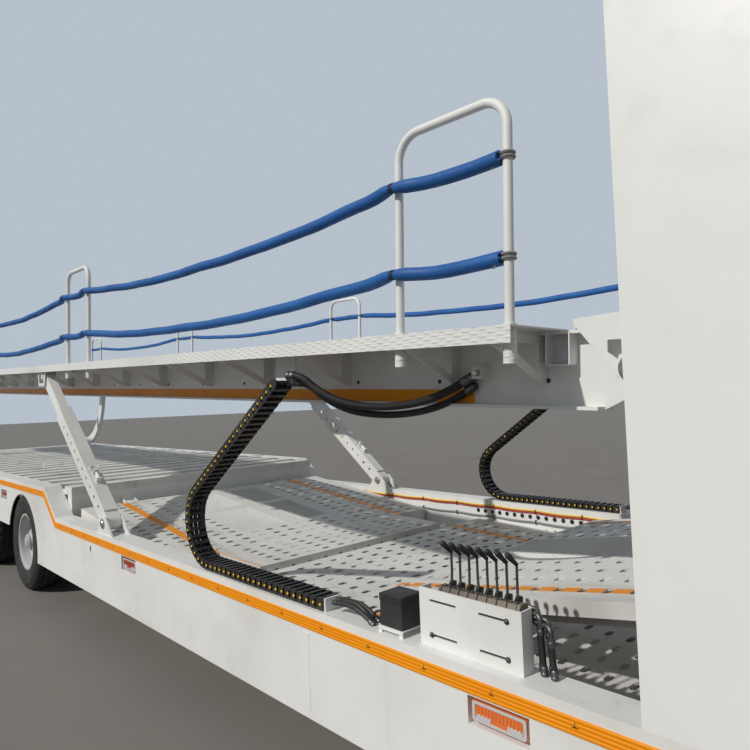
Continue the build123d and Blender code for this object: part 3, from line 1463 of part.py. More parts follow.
def suspension_arms():
    arms = None
    for x in AXLE_X:
        hx = x + ARM_HANGER_DISTANCE
        y = BOGIE_BEAM_Y
        half = 28
        top = TYRE_RADIUS - AXLE_SIZE / 2
        arm = side_profile(
            [
                (hx + 45, TYRE_RADIUS - 5),
                (hx + 45, top - 45),
                (hx - 45, top - 50),
                (x - AIR_SPRING_DISTANCE - 90, top - 50),
                (x - AIR_SPRING_DISTANCE - 90, top),
                (hx - 70, top),
                (hx - 40, TYRE_RADIUS - 5),
            ],
            y - half,
            y + half,
        )
        arms = arm if arms is None else arms + arm
    return both_sides(arms)


save("suspension_arms", suspension_arms())


def air_springs():
    springs = None
    low = TYRE_RADIUS - AXLE_SIZE / 2
    for x in AXLE_X:
        sx = x - AIR_SPRING_DISTANCE
        bag = rod_z(sx, BOGIE_BEAM_Y, AIR_SPRING_RADIUS - 45, low, low + 90)
        bag += rod_z(sx, BOGIE_BEAM_Y, AIR_SPRING_RADIUS, low + 90, BOGIE_BEAM_BOTTOM - 20)
        bag += rod_z(sx, BOGIE_BEAM_Y, AIR_SPRING_RADIUS - 40, BOGIE_BEAM_BOTTOM - 20, BOGIE_BEAM_BOTTOM)
        springs = bag if springs is None else springs + bag
    return both_sides(springs)


save("air_springs", air_springs())


# Wheels, made about the Y axis with the outer face at +y
def spun(points):
    """A ring of the section (y, r) about the Y axis."""
    face = make_face(Polyline(*[(y, r, 0) for y, r in points], close=True))
    ring = revolve(face, axis=Axis.X)
    return Rot(0, 0, 90) * ring


def tyre():
    """The left half of the section is drawn from bead to crown, and the right half mirrors it."""
    half = TYRE_WIDTH / 2
    bead = RIM_RADIUS + SEAT_GAP
    outside = [
        (-FLANGE_Y + 1, bead),
        (-FLANGE_Y - 3, RIM_RADIUS + FLANGE_HEIGHT + 1),
        (-half, bead + 70),
        (-half + 12, TYRE_RADIUS - 22),
        (-half + 38, TYRE_RADIUS),
    ]
    inside = (-half + 42, TYRE_RADIUS - 26)
    section = outside + [(-y, r) for y, r in outside[::-1]] + [(-inside[0], inside[1]), inside]
    return spun(section)


def rim():
    wheel = spun(
        [
            (-FLANGE_Y - 4, RIM_RADIUS + FLANGE_HEIGHT),
            (-FLANGE_Y, RIM_RADIUS),
            (FLANGE_Y, RIM_RADIUS),
            (FLANGE_Y + 4, RIM_RADIUS + FLANGE_HEIGHT),
            (FLANGE_Y + 8, RIM_RADIUS + FLANGE_HEIGHT),
            (FLANGE_Y + 8, RIM_RADIUS - 6),
            (86, RIM_RADIUS - 12),
            (30, RIM_RADIUS - 20),
            (10, 120),
            (10, 95),
            (64, 88),
            (64, SPINDLE_RADIUS + 25),
            (80, SPINDLE_RADIUS + 15),
            (80, 0),
            (58, 0),
            (58, SPINDLE_RADIUS + PIN_CLEARANCE),
            (-84, SPINDLE_RADIUS + PIN_CLEARANCE),
            (-84, 105),
            (-2, 105),
            (-2, 130),
            (16, RIM_RADIUS - 26),
            (-FLANGE_Y, RIM_RADIUS - 14),
            (-FLANGE_Y - 8, RIM_RADIUS - 6),
            (-FLANGE_Y - 8, RIM_RADIUS + FLANGE_HEIGHT),
        ]
    )
    return wheel


# name, axle, side
WHEELS = [("wheel_front_left", 0, 1), ("wheel_front_right", 0, -1), ("wheel_rear_left", 1, 1), ("wheel_rear_right", 1, -1)]
for wheel_name, axle_index, side in WHEELS:
    turn = 0 if side > 0 else 180
    place = Pos(AXLE_X[axle_index], side * WHEEL_Y, TYRE_RADIUS) * Rot(0, 0, turn)
    save(wheel_name.replace("wheel", "tyre"), place * tyre())
    save(wheel_name.replace("wheel", "rim"), place * rim())


# Valve station and control box on both ledges
def valve_stand():
    """A plate with bent side flanges and four slots, in front of the valve bank."""
    y0 = VALVE_PLATE_Y - PLATE
    plate = block(VALVE_X0, VALVE_X1, y0, VALVE_PLATE_Y, LEDGE_Z, VALVE_TOP)
    for x in (VALVE_X0, VALVE_X1 - PLATE):
        plate += block(x, x + PLATE, VALVE_PLATE_Y - VALVE_FLANGE, VALVE_PLATE_Y, LEDGE_Z, VALVE_TOP)
    half = VALVE_SLOT_LENGTH / 2
    height = VALVE_SLOT_HEIGHT / 2
    quarter = (VALVE_X1 - VALVE_X0) / 4
    slots = []
    for x in (VALVE_X0 + quarter, VALVE_X1 - quarter):
        for z in (LEDGE_Z + 0.2 * (VALVE_TOP - LEDGE_Z), LEDGE_Z + 0.8 * (VALVE_TOP - LEDGE_Z)):
            slots.append(block(x - half, x + half, y0 - PLATE, VALVE_PLATE_Y + PLATE, z - height, z + height))
    return plate - slots


save("valve_stands", both_sides(valve_stand()))


def section_places():
    middle = (VALVE_X0 + VALVE_X1) / 2
    return [middle + SECTION_PITCH * (i - (VALVE_SECTIONS - 1) / 2) for i in range(VALVE_SECTIONS)]


def valve_bank():
    """Sections side by side on a foot, each with a round cap under its lever."""
    y0 = BANK_Y - BANK_DEPTH / 2
    y1 = BANK_Y + BANK_DEPTH / 2
    places = section_places()
    first = places[0] - SECTION_WIDTH / 2
    last = places[-1] + SECTION_WIDTH / 2
    bank = block(first, last, y0 + 4, y1 - 4, BANK_BOTTOM + 10, BANK_TOP - 10)
    bank += block(first + 20, last - 20, y0 + 4, y1 - 4, LEDGE_Z, BANK_BOTTOM + 11)
    pieces = []
    for x in places:
        pieces.append(block(x - SECTION_WIDTH / 2, x + SECTION_WIDTH / 2, y0, y1, BANK_BOTTOM, BANK_TOP))
        pieces.append(rod_z(x, BANK_Y, SOCKET_CAP_RADIUS, BANK_TOP - 2, BANK_TOP + SOCKET_CAP_HEIGHT))
    return bank + pieces


save("valve_banks", both_sides(valve_bank()))


def valve_levers():
    """A rod with a tapered knob on each section."""
    levers = []
    foot = BANK_TOP + SOCKET_CAP_HEIGHT + SEAT_GAP
    for x in section_places():
        lever = rod_z(x, BANK_Y, LEVER_RADIUS, foot, LEVER_TOP + 4)
        knob = Cone(KNOB_FOOT_RADIUS, KNOB_RADIUS, KNOB_HEIGHT)
        levers.append(lever + Pos(x, BANK_Y, LEVER_TOP + KNOB_HEIGHT / 2) * knob)
    return both_sides(levers[0] + levers[1:])


save("valve_levers", valve_levers())


def control_box():
    """A box on a foot, with a lid that stands out all round."""
    y0 = BOX_Y - BOX_DEPTH / 2
    y1 = BOX_Y + BOX_DEPTH / 2
    rim = 7
    box = block(BOX_X0 + rim, BOX_X1 - rim, y0 + rim, y1 - rim, BOX_BOTTOM, BOX_TOP)
    box += block(BOX_X0, BOX_X1, y0, y1, BOX_TOP - 1, BOX_TOP + 10)
    box += block(BOX_X0 + 40, BOX_X1 - 40, y0 + 16, y1 - 16, LEDGE_Z, BOX_BOTTOM + 1)
    return box


save("control_boxes", both_sides(control_box()))
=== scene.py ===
"""A two-deck car transporter semi-trailer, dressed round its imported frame.

Metres, in the frame of the part: +X forward, +Y left, +Z up.
"""
import json
import math
import random

import bmesh
import bpy
from mathutils import Matrix, Vector


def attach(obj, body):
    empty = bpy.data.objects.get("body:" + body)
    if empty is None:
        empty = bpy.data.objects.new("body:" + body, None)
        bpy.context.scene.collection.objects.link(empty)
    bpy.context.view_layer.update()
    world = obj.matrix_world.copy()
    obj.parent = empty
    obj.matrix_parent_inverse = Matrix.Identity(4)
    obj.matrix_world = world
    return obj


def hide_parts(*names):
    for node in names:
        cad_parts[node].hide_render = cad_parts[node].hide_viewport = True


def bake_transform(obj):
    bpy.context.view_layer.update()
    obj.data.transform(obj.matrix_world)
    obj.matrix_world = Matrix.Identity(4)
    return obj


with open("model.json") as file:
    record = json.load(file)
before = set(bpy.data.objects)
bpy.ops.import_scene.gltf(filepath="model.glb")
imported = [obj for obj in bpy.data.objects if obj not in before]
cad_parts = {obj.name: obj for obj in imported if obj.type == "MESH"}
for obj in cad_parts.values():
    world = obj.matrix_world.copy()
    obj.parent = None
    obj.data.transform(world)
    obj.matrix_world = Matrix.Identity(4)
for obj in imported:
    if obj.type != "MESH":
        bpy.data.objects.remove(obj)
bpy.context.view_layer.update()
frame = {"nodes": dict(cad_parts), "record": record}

# The photograph's view, from the trailer's right, close to its front column
CAMERA_PLACE = Vector((4.525, -2.654, 1.468))
CAMERA_YAW = math.radians(43.3)
CAMERA_PITCH = math.radians(2.36)
CAMERA_ROLL = math.radians(-2.12)
CAMERA_LENS = 29.8
SENSOR = 36.0

# The upper deck's own frame: its pivot, and how far it falls towards the front
PIVOT = Vector((3.790, 0, 1.530))
DECK_SLOPE = math.radians(2.3)
DECK_REACH = 10.665
WALK_TOP = 0.121
RAIL_Y = 1.210
BEAM_WEB_Y = 0.954
HOOP_COUNT = 4
HOOP_FRONT = -0.464
HOOP_REAR_MARGIN = 0.245
HOOP_SPAN = 0.421
HOOP_RADIUS = 0.014

# Side frames
LEDGE_Z = 0.700
SKIRT_Y = 1.245
WEB_Y = 1.120
STRIP = ((4.330, 0.625), (-0.430, 0.625), (-0.707, 0.825), (-6.700, 0.825))
STRIP_HEIGHT = 0.045
CLIP_PITCH = 0.2545
SIDES = (("left", 1), ("right", -1))


def place_camera():
    level = math.cos(CAMERA_PITCH)
    forward = Vector((-math.cos(CAMERA_YAW) * level, math.sin(CAMERA_YAW) * level, math.sin(CAMERA_PITCH)))
    level_right = forward.cross(Vector((0, 0, 1))).normalized()
    level_up = level_right.cross(forward)
    right = math.cos(CAMERA_ROLL) * level_right + math.sin(CAMERA_ROLL) * level_up
    up = math.cos(CAMERA_ROLL) * level_up - math.sin(CAMERA_ROLL) * level_right
    data = bpy.data.cameras.new("camera")
    data.lens = CAMERA_LENS
    data.sensor_width = SENSOR
    data.sensor_fit = "HORIZONTAL"
    data.clip_start = 0.05
    data.clip_end = 200
    camera = bpy.data.objects.new("camera", data)
    turn = Matrix((right, up, -forward)).transposed().to_4x4()
    camera.matrix_world = Matrix.Translation(CAMERA_PLACE) @ turn
    bpy.context.collection.objects.link(camera)
    bpy.context.scene.camera = camera


place_camera()


# Finishes
def feed(tree, socket, value):
    """Link a socket to another one, or set it to a value."""
    if isinstance(value, bpy.types.NodeSocket):
        tree.links.new(value, socket)
    else:
        socket.default_value = value


def new_node(tree, kind, inputs=None, **settings):
    node = tree.nodes.new(kind)
    for key, value in settings.items():
        setattr(node, key, value)
    for key, value in (inputs or {}).items():
        feed(tree, node.inputs[key], value)
    return node


class Finish:
    """A material built up in layers over one base colour, in Object coordinates."""

    def __init__(self, name, color, roughness, metallic=0.0):
        self.material = bpy.data.materials.new(name)
        self.material.use_nodes = True
        self.tree = self.material.node_tree
        self.shader = self.tree.nodes["Principled BSDF"]
        self.coat(Roughness=roughness, Metallic=metallic, Base_Color=(*color, 1))
        self.place = self.add("ShaderNodeTexCoord").outputs["Object"]
        self.color = (*color, 1)
        self.relief = None

    def coat(self, **values):
        """Set inputs of the shader, by their names with _ for a space."""
        for key, value in values.items():
            feed(self.tree, self.shader.inputs[key.replace("_", " ")], value)

    def add(self, kind, inputs=None, **settings):
        return new_node(self.tree, kind, inputs, **settings)

    def noise(self, scale, detail=3.0, stretch=(1, 1, 1), roughness=0.5):
        mapping = self.add("ShaderNodeMapping", {"Vector": self.place, "Scale": stretch})
        inputs = {"Vector": mapping.outputs["Vector"], "Scale": scale}
        inputs.update(Detail=detail, Roughness=roughness)
        return self.add("ShaderNodeTexNoise", inputs).outputs["Fac"]

    def spread(self, value, low, high, to_low=0.0, to_high=1.0):
        inputs = {"Value": value, "From Min": low, "From Max": high, "To Min": to_low, "To Max": to_high}
        return self.add("ShaderNodeMapRange", inputs).outputs["Result"]

    def maths(self, operation, *values):
        return self.add("ShaderNodeMath", dict(enumerate(values)), operation=operation).outputs["Value"]

    def axis(self, name):
        return self.add("ShaderNodeSeparateXYZ", {0: self.place}).outputs[name]

    def up(self):
        """How far a face looks up, by its normal."""
        normal = self.add("ShaderNodeNewGeometry").outputs["Normal"]
        return self.add("ShaderNodeSeparateXYZ", {0: normal}).outputs["Z"]

    def tint(self, share, color):
        """Lay another colour over what is there, where share is high."""
        mix = self.add("ShaderNodeMix", {"Factor": share}, data_type="RGBA")
        below, above = (socket for socket in mix.inputs if socket.type == "RGBA")
        feed(self.tree, below, self.color)
        feed(self.tree, above, (*color, 1))
        self.color = next(socket for socket in mix.outputs if socket.type == "RGBA")
        self.coat(Base_Color=self.color)

    def patches(self, color, amount, low, high, *noise, **more):
        """Tint up to an amount where a noise rises from low to high."""
        self.tint(self.spread(self.noise(*noise, **more), low, high, 0.0, amount), color)

    def rough(self, value, low, high):
        self.coat(Roughness=self.spread(value, 0.3, 0.7, low, high))

    def bump(self, height, distance, strength=1.0):
        inputs = {"Height": height, "Distance": distance, "Strength": strength}
        if self.relief:
            inputs["Normal"] = self.relief
        self.relief = self.add("ShaderNodeBump", inputs).outputs["Normal"]
        self.coat(Normal=self.relief)


DUST = (0.36, 0.32, 0.26)
DIRT = (0.17, 0.145, 0.115)
RUST = (0.20, 0.075, 0.03)
TYRE_MARK = (0.16, 0.15, 0.14)
AMBER_PAINT = (0.80, 0.27, 0.0)
TRACK_MIDDLE_Y = 0.780
STRIPE_HALF = 0.029
FRONT_LAMP_FROM = 3.0


def sprayed_paint(name, color, roughness=0.42, dust=0.30, rust=0.0):
    """Satin paint sprayed on plate: faint orange peel, dents, dust and thin streaks downwards."""
    finish = Finish(name, color, roughness)
    finish.patches(DUST, dust, 0.48, 0.75, 1.3, 5, roughness=0.6)
    finish.patches(DUST, 0.5 * dust, 0.60, 0.80, 3.0, 6, (7, 7, 0.5), 0.65)
    # dirt and grit gather on what faces up
    up = finish.spread(finish.up(), 0.75, 0.95)
    grit = finish.spread(finish.noise(26.0, 6, roughness=0.75), 0.60, 0.68)
    finish.tint(finish.maths("MULTIPLY", finish.maths("MULTIPLY", up, grit), 1.6 * dust), DIRT)
    if rust:
        finish.patches(RUST, rust, 0.70, 0.76, 16.0, 6, roughness=0.7)
    finish.rough(finish.noise(9.0, 4), roughness - 0.08, roughness + 0.14)
    finish.bump(finish.noise(2.2, 2), 0.004, 0.5)
    finish.bump(finish.noise(420.0, 2), 0.0004, 0.35)
    return finish


def floor_paint(name, striped=True):
    """White paint of the loading surfaces, with tyre marks and, where striped, two amber stripes."""
    finish = sprayed_paint(name, (0.72, 0.72, 0.70), 0.5, 0.36, 0.5)
    across = finish.maths("ABSOLUTE", finish.axis("Y"))
    off = finish.maths("ABSOLUTE", finish.maths("SUBTRACT", across, TRACK_MIDDLE_Y))
    tread = finish.spread(off, 0.32, 0.05)
    marks = finish.spread(finish.noise(4.0, 6, (0.6, 2.5, 1)), 0.48, 0.72, 0.0, 0.45)
    finish.tint(finish.maths("MULTIPLY", tread, marks), TYRE_MARK)
    if striped:
        level = finish.spread(finish.up(), 0.55, 0.65)
        stripe = finish.maths("MULTIPLY", finish.maths("LESS_THAN", off, STRIPE_HALF), level)
        worn = finish.spread(finish.noise(14.0, 5), 0.34, 0.40, 0.35, 1.0)
        finish.tint(finish.maths("MULTIPLY", stripe, worn), AMBER_PAINT)
    return finish.material


def chequered_walkway():
    """White paint over chequer plate, whose pattern runs up the upright faces."""
    finish = sprayed_paint("walkway_paint", (0.76, 0.77, 0.76), 0.45, 0.3, 0.25)
    flat = finish.spread(finish.maths("ABSOLUTE", finish.up()), 0.4, 0.6)
    level = finish.maths("MULTIPLY", finish.axis("Y"), flat)
    upright = finish.maths("MULTIPLY", finish.axis("Z"), finish.maths("SUBTRACT", 1.0, flat))
    inputs = {"X": finish.axis("X"), "Y": finish.maths("ADD", level, upright)}
    over = finish.add("ShaderNodeCombineXYZ", inputs).outputs["Vector"]
    heights = []
    for turn in (0.785, -0.785):
        inputs = {"Vector": over, "Rotation": (0, 0, turn), "Scale": (24, 70, 1)}
        mapping = finish.add("ShaderNodeMapping", inputs)
        inputs = {"Vector": mapping.outputs["Vector"], "Scale": 1.0, "Randomness": 0.0}
        cells = finish.add("ShaderNodeTexVoronoi", inputs, voronoi_dimensions="2D")
        heights.append(finish.spread(cells.outputs["Distance"], 0.30, 0.18))
    finish.bump(finish.maths("MAXIMUM", *heights), 0.0015, 0.8)
    return finish.material


def strip_paint(name, color):
    """Bright paint on the rub strips, chalked by the weather and scraped here and there."""
    finish = Finish(name, color, 0.5)
    finish.coat(Specular_IOR_Level=0.25)
    finish.patches((0.84, 0.33, 0.005), 0.35, 0.40, 0.75, 3.0, 4)
    finish.patches((0.30, 0.22, 0.15), 0.5, 0.68, 0.74, 18.0, 6, (0.5, 1, 3), 0.7)
    finish.rough(finish.noise(12.0, 4), 0.32, 0.55)
    finish.bump(finish.noise(300.0, 2), 0.0004, 0.4)
    return finish.material


def bare_steel(name, color, roughness):
    """Drawn or turned steel with an oil film."""
    finish = Finish(name, color, roughness, 1.0)
    finish.patches((0.22, 0.20, 0.18), 0.6, 0.50, 0.78, 5.0, 5)
    finish.rough(finish.noise(40.0, 3, (1, 1, 6)), roughness - 0.1, roughness + 0.15)
    finish.bump(finish.noise(160.0, 2, (1, 1, 14)), 0.0003, 0.4)
    return finish.material


def moulded(name, color, roughness, grain=260.0):
    """Plastic or rubber with a fine grain and some dust on it."""
    finish = Finish(name, color, roughness)
    finish.patches((0.20, 0.18, 0.155), 0.28, 0.50, 0.80, 2.4, 5)
    finish.rough(finish.noise(8.0, 3), roughness - 0.1, roughness + 0.15)
    finish.bump(finish.noise(grain, 2), 0.0005, 0.5)
    return finish.material


def tyre_rubber():
    finish = Finish("tyre_rubber", (0.018, 0.018, 0.019), 0.72)
    finish.patches((0.11, 0.095, 0.08), 0.55, 0.45, 0.78, 5.0, 6)
    finish.rough(finish.noise(14.0, 4), 0.6, 0.88)
    finish.bump(finish.noise(220.0, 3), 0.0008, 0.6)
    return finish.material


def foam_sleeve():
    """Blue foam of the rope sleeves: matt, slightly wrinkled, with scuffs."""
    finish = Finish("foam_sleeve", (0.004, 0.085, 0.31), 0.6)
    finish.patches((0.010, 0.15, 0.46), 0.5, 0.40, 0.75, 6.0, 4)
    finish.patches((0.10, 0.13, 0.18), 0.5, 0.66, 0.74, 30.0, 5)
    finish.rough(finish.noise(20.0, 3), 0.5, 0.75)
    finish.bump(finish.noise(34.0, 4, (2.4, 1, 1)), 0.003, 0.5)
    return finish.material


def lamp_lens(name, front, rear=None, painted_prism_light=(0.95, 0.55, 0.35)):
    """Moulded lens with prisms in it, its prism cells tinted with painted light; rear is its colour on all
    but the lamps ahead of x 3 m.
    """
    finish = Finish(name, front, 0.14)
    finish.coat(Coat_Weight=0.6)
    if rear:
        finish.tint(finish.maths("LESS_THAN", finish.axis("X"), FRONT_LAMP_FROM), rear)
    # painted light: towards the edges of each prism cell the colour is tinted as painted glints (pale orange
    # on the red and amber lenses) and as painted shade (dark grey on the clear lens)
    inputs = {"Vector": finish.place, "Scale": 130.0, "Randomness": 0.15}
    distance = finish.add("ShaderNodeTexVoronoi", inputs).outputs["Distance"]
    finish.tint(finish.spread(distance, 0.15, 0.65, 0.0, 0.16), painted_prism_light)
    finish.bump(distance, 0.002, 0.6)
    return finish.material


WHITE = sprayed_paint("white_paint", (0.78, 0.79, 0.78)).material
COVER_WHITE = sprayed_paint("cover_paint", (0.80, 0.81, 0.80), 0.34, 0.10).material
DECK_WHITE = floor_paint("floor_paint")
PLAIN_DECK = floor_paint("plain_floor_paint", False)
WALKWAY = chequered_walkway()
ORANGE = strip_paint("strip_orange", AMBER_PAINT)
STEEL = bare_steel("bare_steel", (0.58, 0.57, 0.55), 0.38)
ZINC = bare_steel("zinc_plate", (0.60, 0.58, 0.54), 0.34)
DARK_STEEL = bare_steel("dark_steel", (0.15, 0.15, 0.155), 0.42)
BLACK_PAINT = moulded("chassis_black", (0.022, 0.022, 0.024), 0.45)
RUBBER = moulded("rubber", (0.014, 0.014, 0.015), 0.58)
CHAIN_BLACK = moulded("carrier_plastic", (0.016, 0.016, 0.017), 0.42)
BOX_BLACK = moulded("box_plastic", (0.020, 0.021, 0.023), 0.50, 420.0)
TYRE = tyre_rubber()
FOAM = foam_sleeve()
SIDE_LENS = lamp_lens("side_lens", (0.78, 0.15, 0.008), (0.46, 0.012, 0.01))
RED_LENS = lamp_lens("red_lens", (0.50, 0.015, 0.010))
AMBER_LENS = lamp_lens("amber_lens", (0.85, 0.26, 0.02))
CLEAR_LENS = lamp_lens("clear_lens", (0.62, 0.63, 0.64), None, (0.30, 0.30, 0.31))
VALVE_METAL = sprayed_paint("valve_metal", (0.13, 0.105, 0.080), 0.50, 0.5).material
RIM_PAINT = sprayed_paint("rim_paint", (0.50, 0.51, 0.52), 0.38, 0.45, 0.3).material
YELLOW = moulded("yellow_plastic", (0.80, 0.50, 0.02), 0.5)
RED_CABLE = moulded("red_cable", (0.50, 0.03, 0.02), 0.5)
GREY_CABLE = moulded("grey_cable", (0.25, 0.25, 0.25), 0.5)
PLATE_WHITE = moulded("plate_white", (0.78, 0.78, 0.76), 0.4)

SLOT_FINISH = {
    "white_paint": WHITE,
    "orange_paint": ORANGE,
    "steel": STEEL,
    "black_paint": BLACK_PAINT,
    "rubber": RUBBER,
    "red_lens": RED_LENS,
    "side_lens": SIDE_LENS,
    "blue_foam": FOAM,
    "valve_metal": VALVE_METAL,
    "black_plastic": BOX_BLACK,
    "tyre": TYRE,
    "rim_silver": RIM_PAINT,
}
NODE_FINISH = {
    "platform_a": DECK_WHITE,
    "platform_b": DECK_WHITE,
    "well_floor": DECK_WHITE,
    "bogie_deck": PLAIN_DECK,
    "deck_tracks": PLAIN_DECK,
    "deck_walkways": WALKWAY,
    "nose_deck": WALKWAY,
    "column_covers": COVER_WHITE,
    "post_inner_left": COVER_WHITE,
    "post_inner_right": COVER_WHITE,
}


def finish_frame():
    for subpart in frame["record"]["subparts"]:
        name = subpart["node"]
        node = frame["nodes"].get(name)
        if node:
            node.data.materials.clear()
            node.data.materials.append(NODE_FINISH.get(name, SLOT_FINISH[subpart["material_slot"]]))


finish_frame()


# Making of pieces
def in_scene(name, data):
    thing = bpy.data.objects.new(name, data)
    bpy.context.collection.objects.link(thing)
    return thing


def evaluated_mesh(thing):
    return bpy.data.meshes.new_from_object(thing.evaluated_get(bpy.context.evaluated_depsgraph_get()))


def around(count, share=0.0):
    """Unit steps round a circle, as (cosine, sine)."""
    for i in range(count):
        angle = 2 * math.pi * (i + share) / count
        yield math.cos(angle), math.sin(angle)


BOX_FACES = ((0, 1, 3, 2), (4, 6, 7, 5), (0, 4, 5, 1), (2, 3, 7, 6), (0, 2, 6, 4), (1, 5, 7, 3))


class Stock:
    """Vertices and faces of one piece while it is made."""

    def __init__(self):
        self.vertices = []
        self.faces = []

    def add(self, vertices, faces, place=None):
        start = len(self.vertices)
        for vertex in vertices:
            vertex = Vector(vertex)
            self.vertices.append(place @ vertex if place else vertex)
        self.faces += [[start + i for i in face] for face in faces]

    def skin(self, rings, place=None, closed=False):
        """Quads between rings of as many points: a bar with flat ends, or a closed loop."""
        count = len(rings[0])
        last = count * len(rings)
        faces = [] if closed else [tuple(range(count))[::-1], tuple(range(last - count, last))]
        for start in range(0, last if closed else last - count, count):
            after = (start + count) % last
            for k in range(count):
                turn = (k + 1) % count
                faces.append((start + k, start + turn, after + turn, after + k))
        self.add([point for ring in rings for point in ring], faces, place)

    def box(self, low, high, place=None):
        corners = [(x, y, z) for x in (low[0], high[0]) for y in (low[1], high[1]) for z in (low[2], high[2])]
        self.add(corners, BOX_FACES, place)

    def turned(self, profile, sides, place=None):
        """A closed solid turned about local z from (radius, height) points, with flat ends."""
        self.skin([[(r * c, r * s, height) for c, s in around(sides)] for r, height in profile], place)

    def ring(self, section, sides, place=None):
        """A closed ring turned about local z from a closed (radius, height) section."""
        self.skin([[(r * c, r * s, height) for r, height in section] for c, s in around(sides)], place, True)

    def plate(self, outline, thickness, place=None):
        """A prism of a counter-clockwise outline in local x and y, from z 0 up."""
        self.skin([[(x, y, z) for x, y in outline] for z in (0, thickness)], place)

    def tube(self, points, radius, sides=10):
        """A round tube along points; radius is a number, or one for each point."""
        points = [Vector(p) for p in points]
        radii = radius if isinstance(radius, (list, tuple)) else [radius] * len(points)
        side = Vector((0, 0, 1))
        rings = []
        for i, point in enumerate(points):
            along = (points[min(i + 1, len(points) - 1)] - points[max(i - 1, 0)]).normalized()
            side = side - along * side.dot(along)
            if side.length < 1e-4:
                side = along.orthogonal()
            side.normalize()
            other = along.cross(side)
            rings.append([point + radii[i] * (c * side + s * other) for c, s in around(sides)])
        self.skin(rings)

    def mesh(self, name, smooth):
        """The mesh, with outward normals and, where smooth is an angle, edges sharp only beyond it."""
        mesh = bpy.data.meshes.new(name)
        mesh.from_pydata(self.vertices, [], self.faces)
        build = bmesh.new()
        build.from_mesh(mesh)
        bmesh.ops.recalc_face_normals(build, faces=build.faces)
        build.to_mesh(mesh)
        build.free()
        if smooth:
            mesh.shade_smooth()
            mesh.set_sharp_from_angle(angle=smooth)
        return mesh

    def piece(self, name, finish, body, smooth=0.0, bevel=0.0):
        """Make the object, ride it on a body, and round its edges where asked."""
        mesh = self.mesh(name, smooth)
        mesh.materials.append(finish)
        thing = in_scene(name, mesh)
        if bevel:
            edge = thing.modifiers.new("edges", "BEVEL")
            edge.width = bevel
            edge.segments = 2
            edge.limit_method = "ANGLE"
        if body:
            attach(thing, body)
        return thing


SOFT_EDGE = math.radians(40)


def spin(axis, degrees):
    return Matrix.Rotation(math.radians(degrees), 4, axis)


def at(x, y, z, turn=None):
    place = Matrix.Translation((x, y, z))
    return place @ turn if turn else place


def outward(x, y, z):
    """Local z points away from the centre plane at a place on the trailer's side."""
    return at(x, y, z, spin("X", -90 if y > 0 else 90))


def inward(x, y, z):
    """Local z points to the centre plane at a place on the trailer's side."""
    return at(x, y, z, spin("X", 90 if y > 0 else -90))


def aimed(direction):
    """A turn that brings local z into a direction."""
    return direction.to_track_quat("Z", "Y").to_matrix().to_4x4()


def on_deck(x, y, z):
    """World place of a point of the upper deck's own frame."""
    c = math.cos(DECK_SLOPE)
    s = math.sin(DECK_SLOPE)
    return Vector((PIVOT.x + x * c + z * s, y, PIVOT.z - x * s + z * c))


DECK_TURN = Matrix.Rotation(DECK_SLOPE, 4, "Y")
DECK_FRAME = Matrix.Translation(PIVOT) @ DECK_TURN


def repeat_tree():
    """Geometry nodes that set a pattern piece on every point, turned as the point says."""
    tree = bpy.data.node_groups.new("set on points", "GeometryNodeTree")
    for name, way, kind in (
        ("Points", "INPUT", "Geometry"),
        ("Pattern", "INPUT", "Object"),
        ("Finish", "INPUT", "Material"),
        ("Pieces", "OUTPUT", "Geometry"),
    ):
        tree.interface.new_socket(name, in_out=way, socket_type="NodeSocket" + kind)
    given = new_node(tree, "NodeGroupInput").outputs
    pattern = new_node(tree, "GeometryNodeObjectInfo", {"Object": given["Pattern"]})
    turn = new_node(tree, "GeometryNodeInputNamedAttribute", {"Name": "turn"}, data_type="FLOAT_VECTOR")
    inputs = {
        "Points": given["Points"],
        "Instance": pattern.outputs["Geometry"],
        "Rotation": turn.outputs["Attribute"],
    }
    instances = new_node(tree, "GeometryNodeInstanceOnPoints", inputs)
    real = new_node(tree, "GeometryNodeRealizeInstances", {"Geometry": instances.outputs["Instances"]})
    inputs = {"Geometry": real.outputs["Geometry"], "Material": given["Finish"]}
    coat = new_node(tree, "GeometryNodeSetMaterial", inputs)
    new_node(tree, "NodeGroupOutput", {"Pieces": coat.outputs["Geometry"]})
    return tree


REPEAT = repeat_tree()


def repeated(name, stock, places, finish, body, smooth=SOFT_EDGE):
    """The pattern in stock at every place (a matrix), as one plain mesh that rides on a body."""
    pattern = in_scene(name + "_pattern", stock.mesh(name + "_pattern", smooth))
    points = bpy.data.meshes.new(name + "_points")
    points.from_pydata([place.to_translation() for place in places], [], [])
    turns = points.attributes.new("turn", "FLOAT_VECTOR", "POINT")
    for item, place in zip(turns.data, places):
        item.vector = place.to_euler()
    host = in_scene(name + "_host", points)
    modifier = host.modifiers.new("repeat", "NODES")
    modifier.node_group = REPEAT
    values = {"Pattern": pattern, "Finish": finish}
    for socket in REPEAT.interface.items_tree:
        if socket.in_out == "INPUT" and socket.name in values:
            modifier[socket.identifier] = values[socket.name]
    mesh = evaluated_mesh(host)
    mesh.name = name
    thing = in_scene(name, mesh)
    bpy.data.objects.remove(host)
    bpy.data.objects.remove(pattern)
    if body:
        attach(thing, body)
    return thing


def lathed(profile, sides):
    """A pattern turned about local z."""
    stock = Stock()
    stock.turned(profile, sides)
    return stock


def hex_bolt(width, height, thread=0.0):
    """A hexagon head on a washer, with local z out of the plate."""
    stock = lathed([(width * 0.78, -0.0005), (width * 0.78, 0.0018)], 14)
    stock.turned([(width * 0.58, 0.0017), (width * 0.58, height * 0.85), (width * 0.46, height)], 6)
    if thread:
        stock.turned([(width * 0.30, height - 0.001), (width * 0.30, height + thread)], 8)
    return stock


